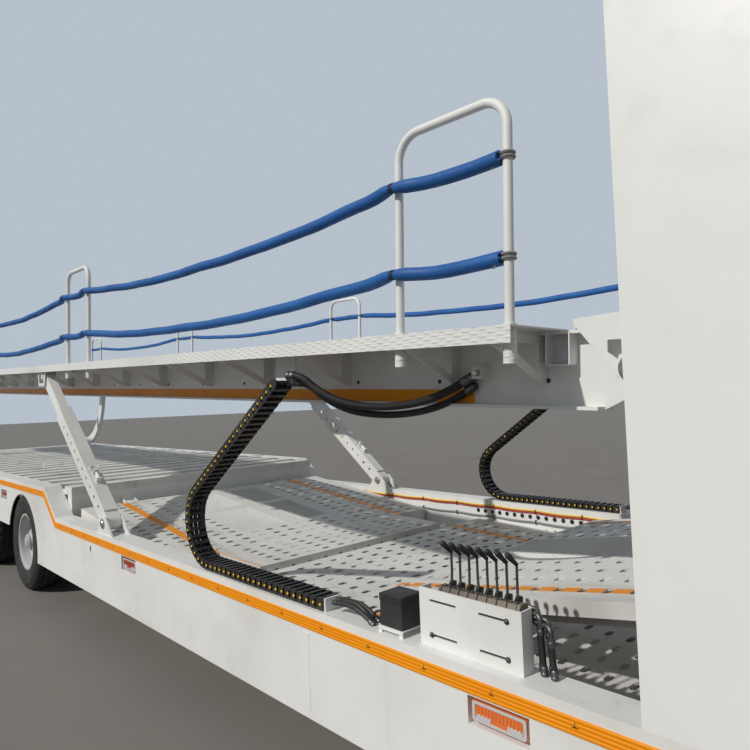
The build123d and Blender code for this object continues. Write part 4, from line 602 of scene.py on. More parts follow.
def rounded(half_length, half_height, radius, steps=4):
    """A rounded rectangle, counter-clockwise."""
    outline = []
    for cx, cy, start in ((1, 1, 0), (-1, 1, 90), (-1, -1, 180), (1, -1, 270)):
        for i in range(steps + 1):
            angle = math.radians(start + 90 * i / steps)
            x = cx * (half_length - radius) + radius * math.cos(angle)
            y = cy * (half_height - radius) + radius * math.sin(angle)
            outline.append((x, y))
    return outline


def wire(middle, radius, count):
    """A round section for a ring, at a distance from its axis."""
    return [(middle + radius * c, radius * s) for c, s in around(count)]


def band(inner, outer, low, high):
    """A rectangular section for a ring."""
    return [(inner, low), (outer, low), (outer, high), (inner, high)]


# Hoses
def points_along(route):
    """Points read from a NURBS spline through a route's corners."""
    data = bpy.data.curves.new("route", "CURVE")
    data.dimensions = "3D"
    data.resolution_u = 8
    spline = data.splines.new("NURBS")
    spline.points.add(len(route) - 1)
    for point, place in zip(spline.points, route):
        point.co = (*place, 1)
    spline.order_u = 3
    spline.use_endpoint_u = True
    line = in_scene("route", data)
    mesh = evaluated_mesh(line)
    points = [vertex.co.copy() for vertex in mesh.vertices]
    bpy.data.objects.remove(line)
    bpy.data.meshes.remove(mesh)
    return points


def evenly(points, pitch):
    """Places a pitch apart along a line of points."""
    found = []
    left = 0.0
    for a, b in zip(points, points[1:]):
        step = b - a
        while left <= step.length:
            found.append(a + step.normalized() * left)
            left += pitch
        left -= step.length
    return found


def collars(name, points, radius, body, length):
    """Steel sleeves crimped on both ends of a hose."""
    profile = (
        (0.90, 0.0), (1.28, 0.002 / length), (1.28, 0.35), (1.16, 0.40),
        (1.28, 0.46), (1.28, 0.90), (1.05, 1.0),
    )
    stock = Stock()
    for first, second in ((points[0], points[3]), (points[-1], points[-4])):
        steps = [(radius * out, length * share) for out, share in profile]
        stock.turned(steps, 16, at(*first, aimed((second - first).normalized())))
    return stock.piece(name, DARK_STEEL, body, SOFT_EDGE)


RIB_STEP = 0.003


def hose(name, ends_name, route, radius, body, stiffness, sleeve, swell):
    """A hose with shallow ribs on its route's spline, with its sleeves."""
    points = points_along(route)
    line = evenly(points, RIB_STEP) + [points[-1]]
    radii = [radius + (swell if i % 2 else -swell) for i in range(len(line))]
    stock = Stock()
    stock.tube(line, radii, 12)
    skin = stock.piece(name, RUBBER, body, SOFT_EDGE)
    ends = collars(ends_name, points, radius, body, sleeve)
    return skin


# Hoses between the carriers and the main beams: their routes, the left ones
HOSE_ROUTE = (
    (2.452, 1.187, 1.582),
    (2.530, 1.186, 1.584),
    (2.640, 1.180, 1.512),
    (2.765, 1.163, 1.462),
    (2.890, 1.130, 1.444),
    (3.005, 1.088, 1.446),
    (3.100, 1.046, 1.466),
    (3.175, 1.004, 1.504),
    (3.233, 0.984, 1.536),
)
HOSE_RADIUS = 0.014
INNER_RADIUS = 0.0125
DECK_HOSE = ("upper_deck", "stiff", 0.045, 0.0007)


def deck_hoses():
    for side_name, side in SIDES:
        route = [(x, side * y, z) for x, y, z in HOSE_ROUTE]
        name = "deck_hose_{}_" + side_name
        skin = hose(name.format("skin"), name.format("collars"), route, HOSE_RADIUS, *DECK_HOSE)
        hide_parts("deck_hose_" + side_name)
        # a second hose runs below and inside the first
        lower = [(x - 0.004, side * (y - 0.034), z - 0.030) for x, y, z in HOSE_ROUTE[:-1]]
        lower.append((3.232, side * 0.972, 1.508))
        hose(name.format("inner"), name.format("inner_collars"), lower, INNER_RADIUS, *DECK_HOSE)


def short_hose(name, route, radius, sleeve):
    """A hose between two fixed ends on the chassis."""
    hose(name, name + "_collars", route, radius, "chassis", "medium", sleeve, 0.0004)


# Hoses from the front end of each valve bank down into the ledge: place on the ledge, port height
BANK_HOSES = ((3.541, 1.134, 0.872), (3.556, 1.151, 0.860), (3.574, 1.136, 0.848), (3.590, 1.155, 0.836))
BANK_END_X = 3.500
BANK_PORT_Y = 1.141
HOSE_FOOT_Z = LEDGE_Z + 0.001


def bank_hoses():
    elbows = Stock()
    for side_name, side in SIDES:
        for i, (x, y, port) in enumerate(BANK_HOSES):
            top = port - 0.026
            bend = [
                (BANK_END_X, side * BANK_PORT_Y, port),
                (BANK_END_X + 0.026, side * BANK_PORT_Y, port),
                (x - 0.010, side * (BANK_PORT_Y + 0.7 * (y - BANK_PORT_Y)), port - 0.001),
                (x - 0.003, side * y, port - 0.005),
                (x, side * y, port - 0.014),
                (x, side * y, top - 0.006),
            ]
            elbows.tube(bend, 0.0070, 10)
            route = [
                (x, side * y, top),
                (x + 0.001, side * y, top - 0.040),
                (x + 0.006, side * (y + 0.003), 0.742),
                (x + 0.010, side * (y + 0.005), HOSE_FOOT_Z),
            ]
            short_hose(f"bank_hose_{side_name}_{i}", route, 0.0082, 0.026)
    elbows.piece("bank_elbows", DARK_STEEL, "chassis", SOFT_EDGE)


# Hoses from the end of each carrier down into the ledge: across, rise at the carrier, foot
CARRIER_HOSES = ((1.170, 0.0, 2.925), (1.190, 0.004, 2.905), (1.206, -0.002, 2.935))


def carrier_hoses():
    for side_name, side in SIDES:
        for i, (y, up, far) in enumerate(CARRIER_HOSES):
            route = [
                (2.722, side * y, 0.738 + up),
                (2.790, side * y, 0.746 + up),
                (2.862, side * (y - 0.002), 0.742 + up),
                (far, side * (y - 0.004), HOSE_FOOT_Z),
            ]
            short_hose(f"carrier_hose_{side_name}_{i}", route, 0.0085, 0.022)


deck_hoses()
bank_hoses()
carrier_hoses()


# Guard ropes in foam sleeves, pinched and tied at every leg of the hoops
ROPE_HEIGHTS = (0.472, 0.192)
ROPE_SAG_SHARE = 0.022
SLEEVE_RADIUS = 0.0215
PINCH_RADIUS = 0.0155
SLEEVE_STEP = 0.05
FRAY_GAP = 0.022
ROPE_RADIUS = 0.0055
LAY = HOOP_RADIUS + PINCH_RADIUS + 0.001


def hoop_legs():
    last = -DECK_REACH + HOOP_REAR_MARGIN
    for i in range(HOOP_COUNT):
        middle = HOOP_FRONT + (last - HOOP_FRONT) * i / (HOOP_COUNT - 1)
        yield middle + HOOP_SPAN / 2
        yield middle - HOOP_SPAN / 2


LEGS = list(hoop_legs())


def by_rail(x, side, out, height):
    """World place at a rail's leg: out from the rail, and a height above the walkway."""
    return on_deck(x, side * (RAIL_Y + out), WALK_TOP + height)


def eased(share):
    share = min(1.0, max(0.0, share))
    return share * share * (3 - 2 * share)


def sleeve_places():
    """Where the points of a sleeve lie, which ends just short of the first and the last leg."""
    places = [LEGS[0] - FRAY_GAP, LEGS[0] - FRAY_GAP - 0.006]
    for number, (start, stop) in enumerate(zip(LEGS, LEGS[1:])):
        count = max(6, round((start - stop) / SLEEVE_STEP))
        if number:
            places += [start - 0.010, start - 0.024]
        places += [start + (stop - start) * i / count for i in range(1, count)]
        if number < len(LEGS) - 2:
            places += [stop + 0.024, stop + 0.010, stop]
    return places + [LEGS[-1] + FRAY_GAP + 0.006, LEGS[-1] + FRAY_GAP]


def sleeve_line(side, height, wander):
    """Points and radii of one sleeve."""
    points = []
    radii = []
    for x in sleeve_places():
        sag = 0.0
        for start, stop in zip(LEGS, LEGS[1:]):
            if stop < x < start:
                share = (start - x) / (start - stop)
                sag = 4 * share * (1 - share) * (start - stop) * ROPE_SAG_SHARE
        nearest = min(abs(x - leg) for leg in LEGS[1:-1])
        fullness = eased((nearest - 0.004) / 0.034)
        away = eased(nearest / 0.16)
        radius = PINCH_RADIUS + (SLEEVE_RADIUS - PINCH_RADIUS) * fullness
        out = LAY + (0.004 - LAY) * away + 0.003 * math.sin(11 * x + wander) * away
        rise = 0.002 * math.sin(5 * x + wander) + 0.0010 * math.sin(17 * x + 2 * wander)
        points.append(by_rail(x, side, out, height - sag + rise * away))
        radii.append(radius * (1 + 0.014 * math.sin(37 * x + wander) * fullness))
    return points, radii


def frayed_end(stock, end, inner, chance):
    """Torn tongues of foam round the mouth of a sleeve."""
    along = (end - inner).normalized()
    side = along.orthogonal().normalized()
    other = along.cross(side)
    for i in range(7):
        angle = 2 * math.pi * i / 7 + chance.uniform(-0.3, 0.3)
        out = math.cos(angle) * side + math.sin(angle) * other
        reach = chance.uniform(0.004, 0.015)
        root = end - along * 0.004 + out * (SLEEVE_RADIUS - 0.005)
        middle = root + along * (0.004 + reach * 0.5) + out * 0.0015
        tip = root + along * (0.004 + reach) - out * 0.002
        stock.tube([root, middle, tip], [0.0048, 0.0042, 0.0012], 6)


def rope_end(cores, leg, point, way, side, height):
    """The rope leaves its sleeve and is wound twice round the last leg, with a short end."""
    hold = by_rail(leg - way * (HOOP_RADIUS + 0.004), side, 0, height)
    cores.tube([point - DECK_TURN @ Vector((way * 0.02, 0, 0)), point, hold], ROPE_RADIUS, 8)
    for up in (-0.006, 0.006):
        section = wire(HOOP_RADIUS + 0.0048, 0.0045, 5)
        cores.ring(section, 18, at(*by_rail(leg, side, 0, height + up), DECK_TURN))
    loose = by_rail(leg - way * 0.045, side, 0.010, height - 0.030)
    middle = (hold + loose) / 2 + Vector((0, side * 0.008, 0))
    cores.tube([hold, middle, loose], [0.004, 0.004, 0.003], 6)


def guard_ropes():
    chance = random.Random(11)
    sleeves = Stock()
    cores = Stock()
    ties = []
    legs_wound = []
    for side in (1, -1):
        for height in ROPE_HEIGHTS:
            points, radii = sleeve_line(side, height, 40 * height + side)
            sleeves.tube(points, radii, 14)
            frayed_end(sleeves, points[0], points[1], chance)
            frayed_end(sleeves, points[-1], points[-2], chance)
            for leg in LEGS[1:-1]:
                ties.append(at(*by_rail(leg, side, LAY, height), DECK_TURN))
                legs_wound.append(at(*by_rail(leg, side, 0, height), DECK_TURN))
            rope_end(cores, LEGS[0], points[0], 1, side, height)
            rope_end(cores, LEGS[-1], points[-1], -1, side, height)
    ropes = sleeves.piece("rope_sleeves", FOAM, "upper_deck", SOFT_EDGE)
    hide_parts("guard_ropes")
    cores.piece("rope_cores", GREY_CABLE, "upper_deck", SOFT_EDGE)
    # thin dark cord is wound round sleeve and leg
    winding = Stock()
    for x in (-0.0065, 0.0, 0.0065):
        section = band(PINCH_RADIUS - 0.001, PINCH_RADIUS + 0.0016, -0.0016, 0.0016)
        winding.ring(section, 16, at(x, 0, 0, spin("Y", 90)))
    repeated("rope_ties", winding, ties, BOX_BLACK, "upper_deck")
    collar = Stock()
    for up in (-0.007, 0.0, 0.007):
        collar.ring(band(HOOP_RADIUS - 0.0005, HOOP_RADIUS + 0.0016, up - 0.0016, up + 0.0016), 14)
    repeated("leg_ties", collar, legs_wound, BOX_BLACK, "upper_deck")


guard_ropes()


# Cable carriers, as in the frame
CARRIER_Y = 1.187
LINK_PITCH = 0.041
LINK_HALF = 0.024
LINK_HALF_WIDTH = 0.038
LINK_SIDE = 0.0045
CARRIER_END_X = 2.690
CARRIER_BEND_X = 1.815
CARRIER_BEND_RADIUS = 0.190
CARRIER_RISE = math.radians(34.5)
CARRIER_TOP_X = 2.440
CARRIER_FLAT = CARRIER_END_X - CARRIER_BEND_X
CARRIER_BEND = (math.pi - CARRIER_RISE) * CARRIER_BEND_RADIUS
RISE_START_X = CARRIER_BEND_X - CARRIER_BEND_RADIUS * math.sin(CARRIER_RISE)
CARRIER_LENGTH = CARRIER_FLAT + CARRIER_BEND + (CARRIER_TOP_X - RISE_START_X) / math.cos(CARRIER_RISE)


def carrier_place(s):
    """Place (x, z) and direction at a distance along the chain from its lower end."""
    z = LEDGE_Z + LINK_HALF + 0.0003
    if s < CARRIER_FLAT:
        return CARRIER_END_X - s, z, math.pi
    if s < CARRIER_FLAT + CARRIER_BEND:
        turn = (s - CARRIER_FLAT) / CARRIER_BEND_RADIUS
        x = CARRIER_BEND_X - CARRIER_BEND_RADIUS * math.sin(turn)
        return x, z + CARRIER_BEND_RADIUS * (1 - math.cos(turn)), math.pi - turn
    run = s - CARRIER_FLAT - CARRIER_BEND
    rise = CARRIER_BEND_RADIUS * (1 + math.cos(CARRIER_RISE)) + run * math.sin(CARRIER_RISE)
    return RISE_START_X + run * math.cos(CARRIER_RISE), z + rise, CARRIER_RISE


def carrier_link():
    """One link along local x: two lapped side plates with raised rims, and cross bars."""
    stock = Stock()
    outline = [(-0.015, 0.0225), (-0.019, 0.018), (-0.019, -0.018), (-0.015, -0.0225), (0.013, -0.0225)]
    outline += [(0.023, -0.017), (0.034, -0.010), (0.037, 0.0), (0.034, 0.010), (0.023, 0.017)]
    outline += [(0.013, 0.0225)]
    for side in (1, -1):
        start = side * LINK_HALF_WIDTH + (LINK_SIDE if side > 0 else 0)
        stock.plate(outline, LINK_SIDE, at(0, start, 0, spin("X", 90)))
        boss = at(-0.004, start, 0, spin("X", -90 * side))
        stock.turned([(0.0125, -0.001), (0.0125, 0.0015), (0.010, 0.0025)], 12, boss)
    for z in (-0.0225, 0.0165):
        stock.box((-0.0105, -LINK_HALF_WIDTH, z), (0.0045, LINK_HALF_WIDTH, z + 0.006))
    stock.box((-0.0125, -0.0015, -0.0175), (0.0065, 0.0015, 0.0175))
    return stock


def cable_carriers():
    count = int(CARRIER_LENGTH / LINK_PITCH)
    links = []
    dots = []
    cables = Stock()
    for side in (1, -1):
        for i in range(count):
            x, z, angle = carrier_place((i + 0.5) * LINK_PITCH)
            turn = Matrix.Rotation(-angle, 4, "Y")
            links.append(at(x, side * CARRIER_Y, z, turn))
            for face in (1, -1):
                dot = at(x, side * CARRIER_Y + face * 0.0445, z, turn @ spin("X", -90 * face))
                dots.append(dot @ at(-0.004, 0, 0))
        # cables inside the chain, seen between the cross bars
        for across, radius in ((-0.022, 0.009), (0.0, 0.010), (0.021, 0.008)):
            line = [carrier_place(i * LINK_PITCH / 2) for i in range(2 * count + 1)]
            cables.tube([(x, side * CARRIER_Y + across, z) for x, z, _ in line], radius, 8)
    chain = repeated("carrier_links", carrier_link(), links, CHAIN_BLACK, None)
    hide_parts("cable_carriers")
    dot = lathed([(0.0055, -0.002), (0.0055, 0.0012), (0.004, 0.002)], 10)
    marks = repeated("carrier_marks", dot, dots, YELLOW, None)
    inner = cables.piece("carrier_cables", RUBBER, None, SOFT_EDGE)
    for thing in (chain, marks, inner):
        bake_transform(thing)


cable_carriers()


# Wheels
TYRE_RADIUS = 0.398
WHEEL_Y = 1.1175
AXLES = (("front", -1.335), ("rear", -2.645))
TREAD_SEGMENTS = 120
NUT_CIRCLE = 0.1125
DISC_OUT = 0.0105
HUB_OUT = 0.079
CROWN = (
    (0.2323, -0.094), (0.238, -0.106), (0.262, -0.1145), (0.302, -0.1175), (0.330, -0.1165),
    (0.333, -0.1178), (0.339, -0.1175), (0.342, -0.1155), (0.366, -0.1095), (0.386, -0.098),
    (0.3935, -0.086), (0.3955, -0.062), (0.3955, -0.058), (0.3835, -0.055), (0.3835, -0.048),
    (0.3965, -0.045), (0.398, -0.018), (0.386, -0.0155), (0.386, -0.009), (0.398, -0.0065),
)
BEAD = ((0.2218, 0.091), (0.2218, -0.091))
CAP_PROFILE = ((0.058, 0.0), (0.058, 0.010), (0.052, 0.014), (0.040, 0.016), (0.038, 0.022), (0.010, 0.024))
STEM_PROFILE = (
    (0.006, -0.01), (0.006, 0.012), (0.0045, 0.014), (0.0045, 0.045), (0.006, 0.046), (0.006, 0.056),
)


def treaded_tyre(stock, place):
    """Round sidewalls with a bead ring, grooves round the crown, and notched shoulders."""
    section = list(CROWN) + [(r, -h) for r, h in CROWN[::-1]] + list(BEAD)
    rings = []
    for i, (c, s) in enumerate(around(TREAD_SEGMENTS)):
        ring = []
        for r, h in section:
            if i % 4 == 0 and 0.366 < r < 0.3965 and abs(h) > 0.056:
                r -= 0.009
            if i % 4 == 2 and r > 0.397:
                r -= 0.005
            ring.append((r * c, r * s, h))
        rings.append(ring)
    stock.skin(rings, place, True)


def wheel_details(wheel, x, side):
    body = "wheel_" + wheel
    stock = Stock()
    treaded_tyre(stock, outward(x, side * WHEEL_Y, TYRE_RADIUS))
    tyre = stock.piece("tread_" + wheel, TYRE, body, math.radians(28))
    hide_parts("tyre_" + wheel)
    disc = outward(x, side * (WHEEL_Y + DISC_OUT), TYRE_RADIUS)
    places = [disc @ at(NUT_CIRCLE * c, NUT_CIRCLE * s, 0) for c, s in around(10, 0.5)]
    repeated("wheel_nuts_" + wheel, hex_bolt(0.030, 0.022, 0.008), places, ZINC, body)
    cap = Stock()
    hub = outward(x, side * (WHEEL_Y + HUB_OUT), TYRE_RADIUS)
    cap.turned(CAP_PROFILE, 32, hub)
    for c, s in around(6):
        cap.turned([(0.0055, 0.0), (0.0055, 0.005), (0.004, 0.006)], 6, hub @ at(0.047 * c, 0.047 * s, 0.013))
    cap.piece("hub_cap_" + wheel, RIM_PAINT, body, SOFT_EDGE)
    # the valve stem stands through the disc
    stem = Stock()
    stem.turned(STEM_PROFILE, 10, outward(x, side * (WHEEL_Y + 0.02), TYRE_RADIUS) @ at(0, 0.165, 0))
    stem.piece("valve_stem_" + wheel, ZINC, body, SOFT_EDGE)


for axle_name, axle_x in AXLES:
    for side_name, side_sign in SIDES:
        wheel_details(f"{axle_name}_{side_name}", axle_x, side_sign)


# Rub strips with four rounded ridges along them
RIDGES = 4
RIDGE_STEPS = ((0.10, 0.0035), (0.28, 0.0052), (0.72, 0.0052), (0.90, 0.0035))


def ridged_strips():
    pitch = STRIP_HEIGHT / RIDGES
    profile = [(0.0, 0.0)]
    profile += [(out, (i + share) * pitch) for i in range(RIDGES) for share, out in RIDGE_STEPS]
    profile.append((0.0, STRIP_HEIGHT))
    stock = Stock()
    for side in (1, -1):
        stock.skin([[(x, side * (SKIRT_Y + out), z + up) for out, up in profile] for x, z in STRIP])
    strips = stock.piece("ridged_rub_strips", ORANGE, "chassis", math.radians(25))
    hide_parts("rub_strips")


def strip_clips():
    """A small dark clip shows through the strip at every fixing."""
    clip = Stock()
    clip.box((-0.0009, -0.0110, -0.0006), (0.0009, 0.0010, 0.0008))
    clip.box((-0.0080, 0.0000, -0.0006), (0.0080, 0.0018, 0.0008))
    clips = []
    for side in (1, -1):
        for (x0, z0), (x1, z1) in zip(STRIP, STRIP[1:]):
            steps = max(1, round(math.hypot(x1 - x0, z1 - z0) / CLIP_PITCH))
            for i in range(steps):
                share = (i + 0.5) / steps
                middle = z0 + (z1 - z0) * share + STRIP_HEIGHT / 2
                place = outward(x0 + (x1 - x0) * share, side * (SKIRT_Y + 0.0048), middle)
                clips.append(place if side > 0 else place @ spin("Z", 180))
    repeated("strip_clips", clip, clips, DARK_STEEL, "chassis", 0)


ridged_strips()
strip_clips()


# Expanded metal
PIN_BELOW_TOP = 0.030
# Hinge pin and foot of each platform
RAMP_PIN = (-0.400, 0, 0.728)
RAMP_FOOT = (1.080, 0, 0.582)
TRAY_PIN = (5.350, 0, 1.105)
TRAY_FOOT = (2.640, 0, 0.690)
RAMP_PANELS = ((0.150, 0.590), (0.650, 1.170))
RAMP_GAPS = ((-0.340, -0.060), (0.060, 0.340))
NET_BORDER = 0.007


def strand_net(x0, x1, y0, y1, long_pitch, short_pitch, strand):
    """Diamonds of thin strands between four edges, at local z 0."""
    build = bmesh.new()
    rows = max(2, round((y1 - y0) / (short_pitch / 2)))
    columns = max(2, round((x1 - x0) / (long_pitch / 2)))
    grid = {}
    for i in range(columns + 1):
        for k in range(rows + 1):
            if (i + k) % 2 == 0:
                grid[i, k] = build.verts.new((x0 + (x1 - x0) * i / columns, y0 + (y1 - y0) * k / rows, 0))
    for i in range(1, columns):
        for k in range(1, rows):
            if (i + k) % 2 == 1:
                build.faces.new((grid[i - 1, k], grid[i, k - 1], grid[i + 1, k], grid[i, k + 1]))
    mesh = bpy.data.meshes.new("net")
    build.to_mesh(mesh)
    build.free()
    net = in_scene("net", mesh)
    strands = net.modifiers.new("strands", "WIREFRAME")
    strands.thickness = strand
    strands.use_even_offset = False
    strands.use_boundary = True
    done = evaluated_mesh(net)
    bpy.data.objects.remove(net)
    return [vertex.co.copy() for vertex in done.vertices], [tuple(face.vertices) for face in done.polygons]


def framed_net(stock, place, x0, x1, y0, y1, long_pitch, short_pitch):
    edge = 0.004
    net = strand_net(x0 + edge, x1 - edge, y0 + edge, y1 - edge, long_pitch, short_pitch, 0.0042)
    stock.add(*net, place)
    for low, high in (
        ((x0, y0), (x1, y0 + NET_BORDER)),
        ((x0, y1 - NET_BORDER), (x1, y1)),
        ((x0, y0), (x0 + NET_BORDER, y1)),
        ((x1 - NET_BORDER, y0), (x1, y1)),
    ):
        stock.box((*low, -0.002), (*high, 0.002), place)


def slope_of(pin, foot):
    """How steeply a platform's top runs from above its pin down to its foot."""
    return math.atan2(pin[2] + PIN_BELOW_TOP - foot[2], abs(pin[0] - foot[0]))


def mesh_piece(name, node, body, place, panels, pitches):
    """Nets between their (x0, x1, y0, y1) edges on a platform."""
    stock = Stock()
    for panel in panels:
        framed_net(stock, place, *panel, *pitches)
    piece = stock.piece(name, WHITE, body)
    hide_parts(node)


def mesh_panels():
    edge = 0.0005
    slope = slope_of(RAMP_PIN, RAMP_FOOT)
    place = at(*RAMP_PIN, Matrix.Rotation(slope, 4, "Y")) @ at(0, 0, PIN_BELOW_TOP - 0.003)
    panels = [(x0 + edge, x1 - edge, y0 + edge, y1 - edge) for x0, x1 in RAMP_PANELS for y0, y1 in RAMP_GAPS]
    mesh_piece("ramp_net", "ramp_mesh", "well_platform", place, panels, (0.036, 0.016))
    slope = slope_of(TRAY_PIN, TRAY_FOOT)
    place = at(*TRAY_PIN, Matrix.Rotation(-slope, 4, "Y")) @ at(0, 0, PIN_BELOW_TOP - 0.0035)
    panel = ((TRAY_FOOT[0] - TRAY_PIN[0]) / math.cos(slope), -0.060, -0.2495, 0.2495)
    mesh_piece("tray_net", "tray_mesh", "neck_platform", place, [panel], (0.056, 0.026))


mesh_panels()


# Valve station
VALVE_X = (3.151, 3.530)
SECTION_PITCH = 0.0345
SECTION_MIDDLE = 3.365
SECTION_COUNT = 8
BANK_Y = 1.163
BANK_HALF = 0.026
BANK_FOOT = 0.716
BANK_TOP = 0.884
LEVER_Y = 1.150
LEVER_TOP = 0.988
COVER_THICKNESS = 0.0105
PLATE_SLOTS = (0.735, 0.840)
PLATE_BACK_Y = 1.1940
PLATE_FACE_Y = 1.2022
ALONG_X = Matrix(((0, 0, 1, 0), (1, 0, 0, 0), (0, 1, 0, 0), (0, 0, 0, 1)))
SECTION_X = [SECTION_MIDDLE + SECTION_PITCH * (i - (SECTION_COUNT - 1) / 2) for i in range(SECTION_COUNT)]
BANK_START = SECTION_X[0] - SECTION_PITCH / 2
BANK_END = SECTION_X[-1] + SECTION_PITCH / 2
PORT_HEIGHTS = (0.760, 0.806)
TIE_RODS = ((-0.016, 0.742), (0.016, 0.742), (0.0, 0.850))
BANK_CORE = ((0.023, 0.72), (0.023, 0.86), (-0.023, 0.865), (-0.023, 0.72))
KNOB_PROFILE = (
    (0.0048, 0.0), (0.0062, 0.002), (0.0062, 0.008), (0.0075, 0.022),
    (0.0092, 0.036), (0.0092, 0.044), (0.0070, 0.0505), (0.0030, 0.0525),
)
BOOT_PROFILE = (
    (0.0115, 0.0), (0.0115, 0.005), (0.0090, 0.007), (0.0100, 0.010), (0.0070, 0.012),
    (0.0080, 0.015), (0.0048, 0.019),
)


def section_outline(side, grow=0.0):
    """A valve section seen along the trailer, with sloping shoulders."""
    half = BANK_HALF + grow
    top = BANK_TOP + grow
    points = ((half, BANK_FOOT), (half, BANK_TOP - 0.020), (0.016, top), (-0.012, top))
    points += ((-half, BANK_TOP - 0.014), (-half, BANK_FOOT))
    return [(side * (BANK_Y + y), z) for y, z in points]


def valve_banks():
    """Eight cast sections between end covers, on a foot."""
    bank = Stock()
    for side in (1, -1):
        for x in SECTION_X:
            start = x - SECTION_PITCH / 2 + 0.00175
            bank.plate(section_outline(side), SECTION_PITCH - 0.0035, at(start, 0, 0, ALONG_X))
        core = [(side * (BANK_Y + y), z) for y, z in BANK_CORE]
        bank.plate(core, BANK_END - BANK_START, at(BANK_START, 0, 0, ALONG_X))
        for x in (BANK_START - 0.011, BANK_END + 0.0005):
            bank.plate(section_outline(side, 0.002), COVER_THICKNESS, at(x, 0, 0, ALONG_X))
        middle = side * BANK_Y
        for x in (BANK_START + 0.015, BANK_END - 0.055):
            bank.box((x, middle - 0.021, LEDGE_Z - 0.0005), (x + 0.040, middle + 0.021, BANK_FOOT + 0.006))
    sections = bank.piece("valve_sections", VALVE_METAL, "chassis", bevel=0.0014)
    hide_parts("valve_banks")


def bank_fittings():
    """Ports and screws of every section, and tie rods with nuts through both end covers."""
    ports = []
    screws = []
    ties = Stock()
    for side in (1, -1):
        for x in SECTION_X:
            ports += [inward(x, side * (BANK_Y - BANK_HALF), z) for z in PORT_HEIGHTS]
            screws += [at(x + dx, side * (BANK_Y + 0.006), BANK_TOP) for dx in (-0.009, 0.009)]
        for y, z in TIE_RODS:
            for x, turn in ((BANK_START - 0.011, -90), (BANK_END + 0.011, 90)):
                place = at(x, side * (BANK_Y + y), z, spin("Y", turn))
                ties.turned([(0.0075, -0.001), (0.0075, 0.006), (0.0065, 0.007)], 6, place)
                ties.turned([(0.0040, 0.006), (0.0040, 0.012)], 10, place)
    port = lathed([(0.0118, -0.001), (0.0118, 0.006), (0.0100, 0.008)], 6)
    port.turned([(0.0072, 0.007), (0.0072, 0.013), (0.006, 0.0135)], 12)
    repeated("valve_ports", port, ports, DARK_STEEL, "chassis")
    screw = lathed([(0.0046, -0.001), (0.0046, 0.004), (0.0036, 0.005)], 6)
    repeated("section_screws", screw, screws, DARK_STEEL, "chassis")
    ties.piece("valve_tie_rods", ZINC, "chassis", SOFT_EDGE)


def valve_levers():
    """Rods that stand up from the inner side of the sections, with knobs leaning out to the operator."""
    chance = random.Random(5)
    rods = Stock()
    knobs = Stock()
    boots = Stock()
    for side in (1, -1):
        way = Vector((-0.22, side * 0.66, 0.70)).normalized()
        y = side * LEVER_Y
        eye = y - side * 0.012
        for x in SECTION_X:
            lean = chance.uniform(-0.0022, 0.0022)
            top = Vector((x + 0.002 + lean, y + side * 0.002, LEVER_TOP))
            line = [(x, y, BANK_TOP - 0.006), (x, y, BANK_TOP + 0.014), (x + lean, y, 0.93), top]
            rods.tube(line + [top + Vector((0, side * 0.004, 0.006))], 0.0040, 10)
            knobs.turned(KNOB_PROFILE, 16, at(*(top - way * 0.002), aimed(way)))
            boots.turned(BOOT_PROFILE, 14, at(x, y, BANK_TOP - 0.004))
            # a clevis and its pin tie each rod to the spool below it
            rods.box((x - 0.0065, eye - 0.004, BANK_TOP - 0.006), (x + 0.0065, eye + 0.004, BANK_TOP + 0.012))
            pin = at(x - 0.0085, eye, BANK_TOP + 0.006, spin("Y", 90))
            rods.turned([(0.0028, 0.0), (0.0028, 0.017)], 8, pin)
    lever = rods.piece("lever_rods", DARK_STEEL, "chassis", SOFT_EDGE)
    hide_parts("valve_levers")
    knobs.piece("lever_knobs", BOX_BLACK, "chassis", SOFT_EDGE)
    boots.piece("lever_boots", RUBBER, "chassis", SOFT_EDGE)


def valve_plate_details():
    """Dark blocks of painted shade just behind the plate's slots, and the screws at the ends of three of
    them.
    """
    bolts = []
    slots = Stock()
    quarter = (VALVE_X[1] - VALVE_X[0]) / 4
    rear = VALVE_X[0] + quarter
    front = VALVE_X[1] - quarter
    low, high = PLATE_SLOTS
    for side in (1, -1):
        y = side * PLATE_BACK_Y
        for x, z, end in ((rear, low, -0.046), (rear, high, None), (front, low, 0.046), (front, high, 0.046)):
            # painted shade: a dark block behind each slot makes it look as dark as shade inside it would
            slots.box((x - 0.0545, y - 0.0015, z - 0.009), (x + 0.0545, y + 0.0015, z + 0.009))
            if end:
                bolts.append(outward(x + end, side * PLATE_FACE_Y, z))
    slots.piece("slot_backing", RUBBER, "chassis", bevel=0.0005)
    repeated("valve_plate_bolts", hex_bolt(0.011, 0.006), bolts, DARK_STEEL, "chassis")


# Control boxes, each on a small stand
BOX_X0, BOX_X1 = 2.984, 3.088
BOX_Y = (1.124, 1.222)
BOX_Z0, BOX_Z1 = 0.722, 0.828
LID_Z = BOX_Z1 - 0.026
# The shell, the groove below the lid, and the lid: inset, foot and top
BOX_LAYERS = (
    (0.0015, BOX_Z0, LID_Z - 0.001),
    (0.004, LID_Z - 0.003, BOX_Z1 - 0.004),
    (0, LID_Z, BOX_Z1),
)
GLAND_PROFILE = ((0.011, -0.001), (0.011, 0.005), (0.009, 0.007), (0.009, 0.016), (0.0055, 0.020))


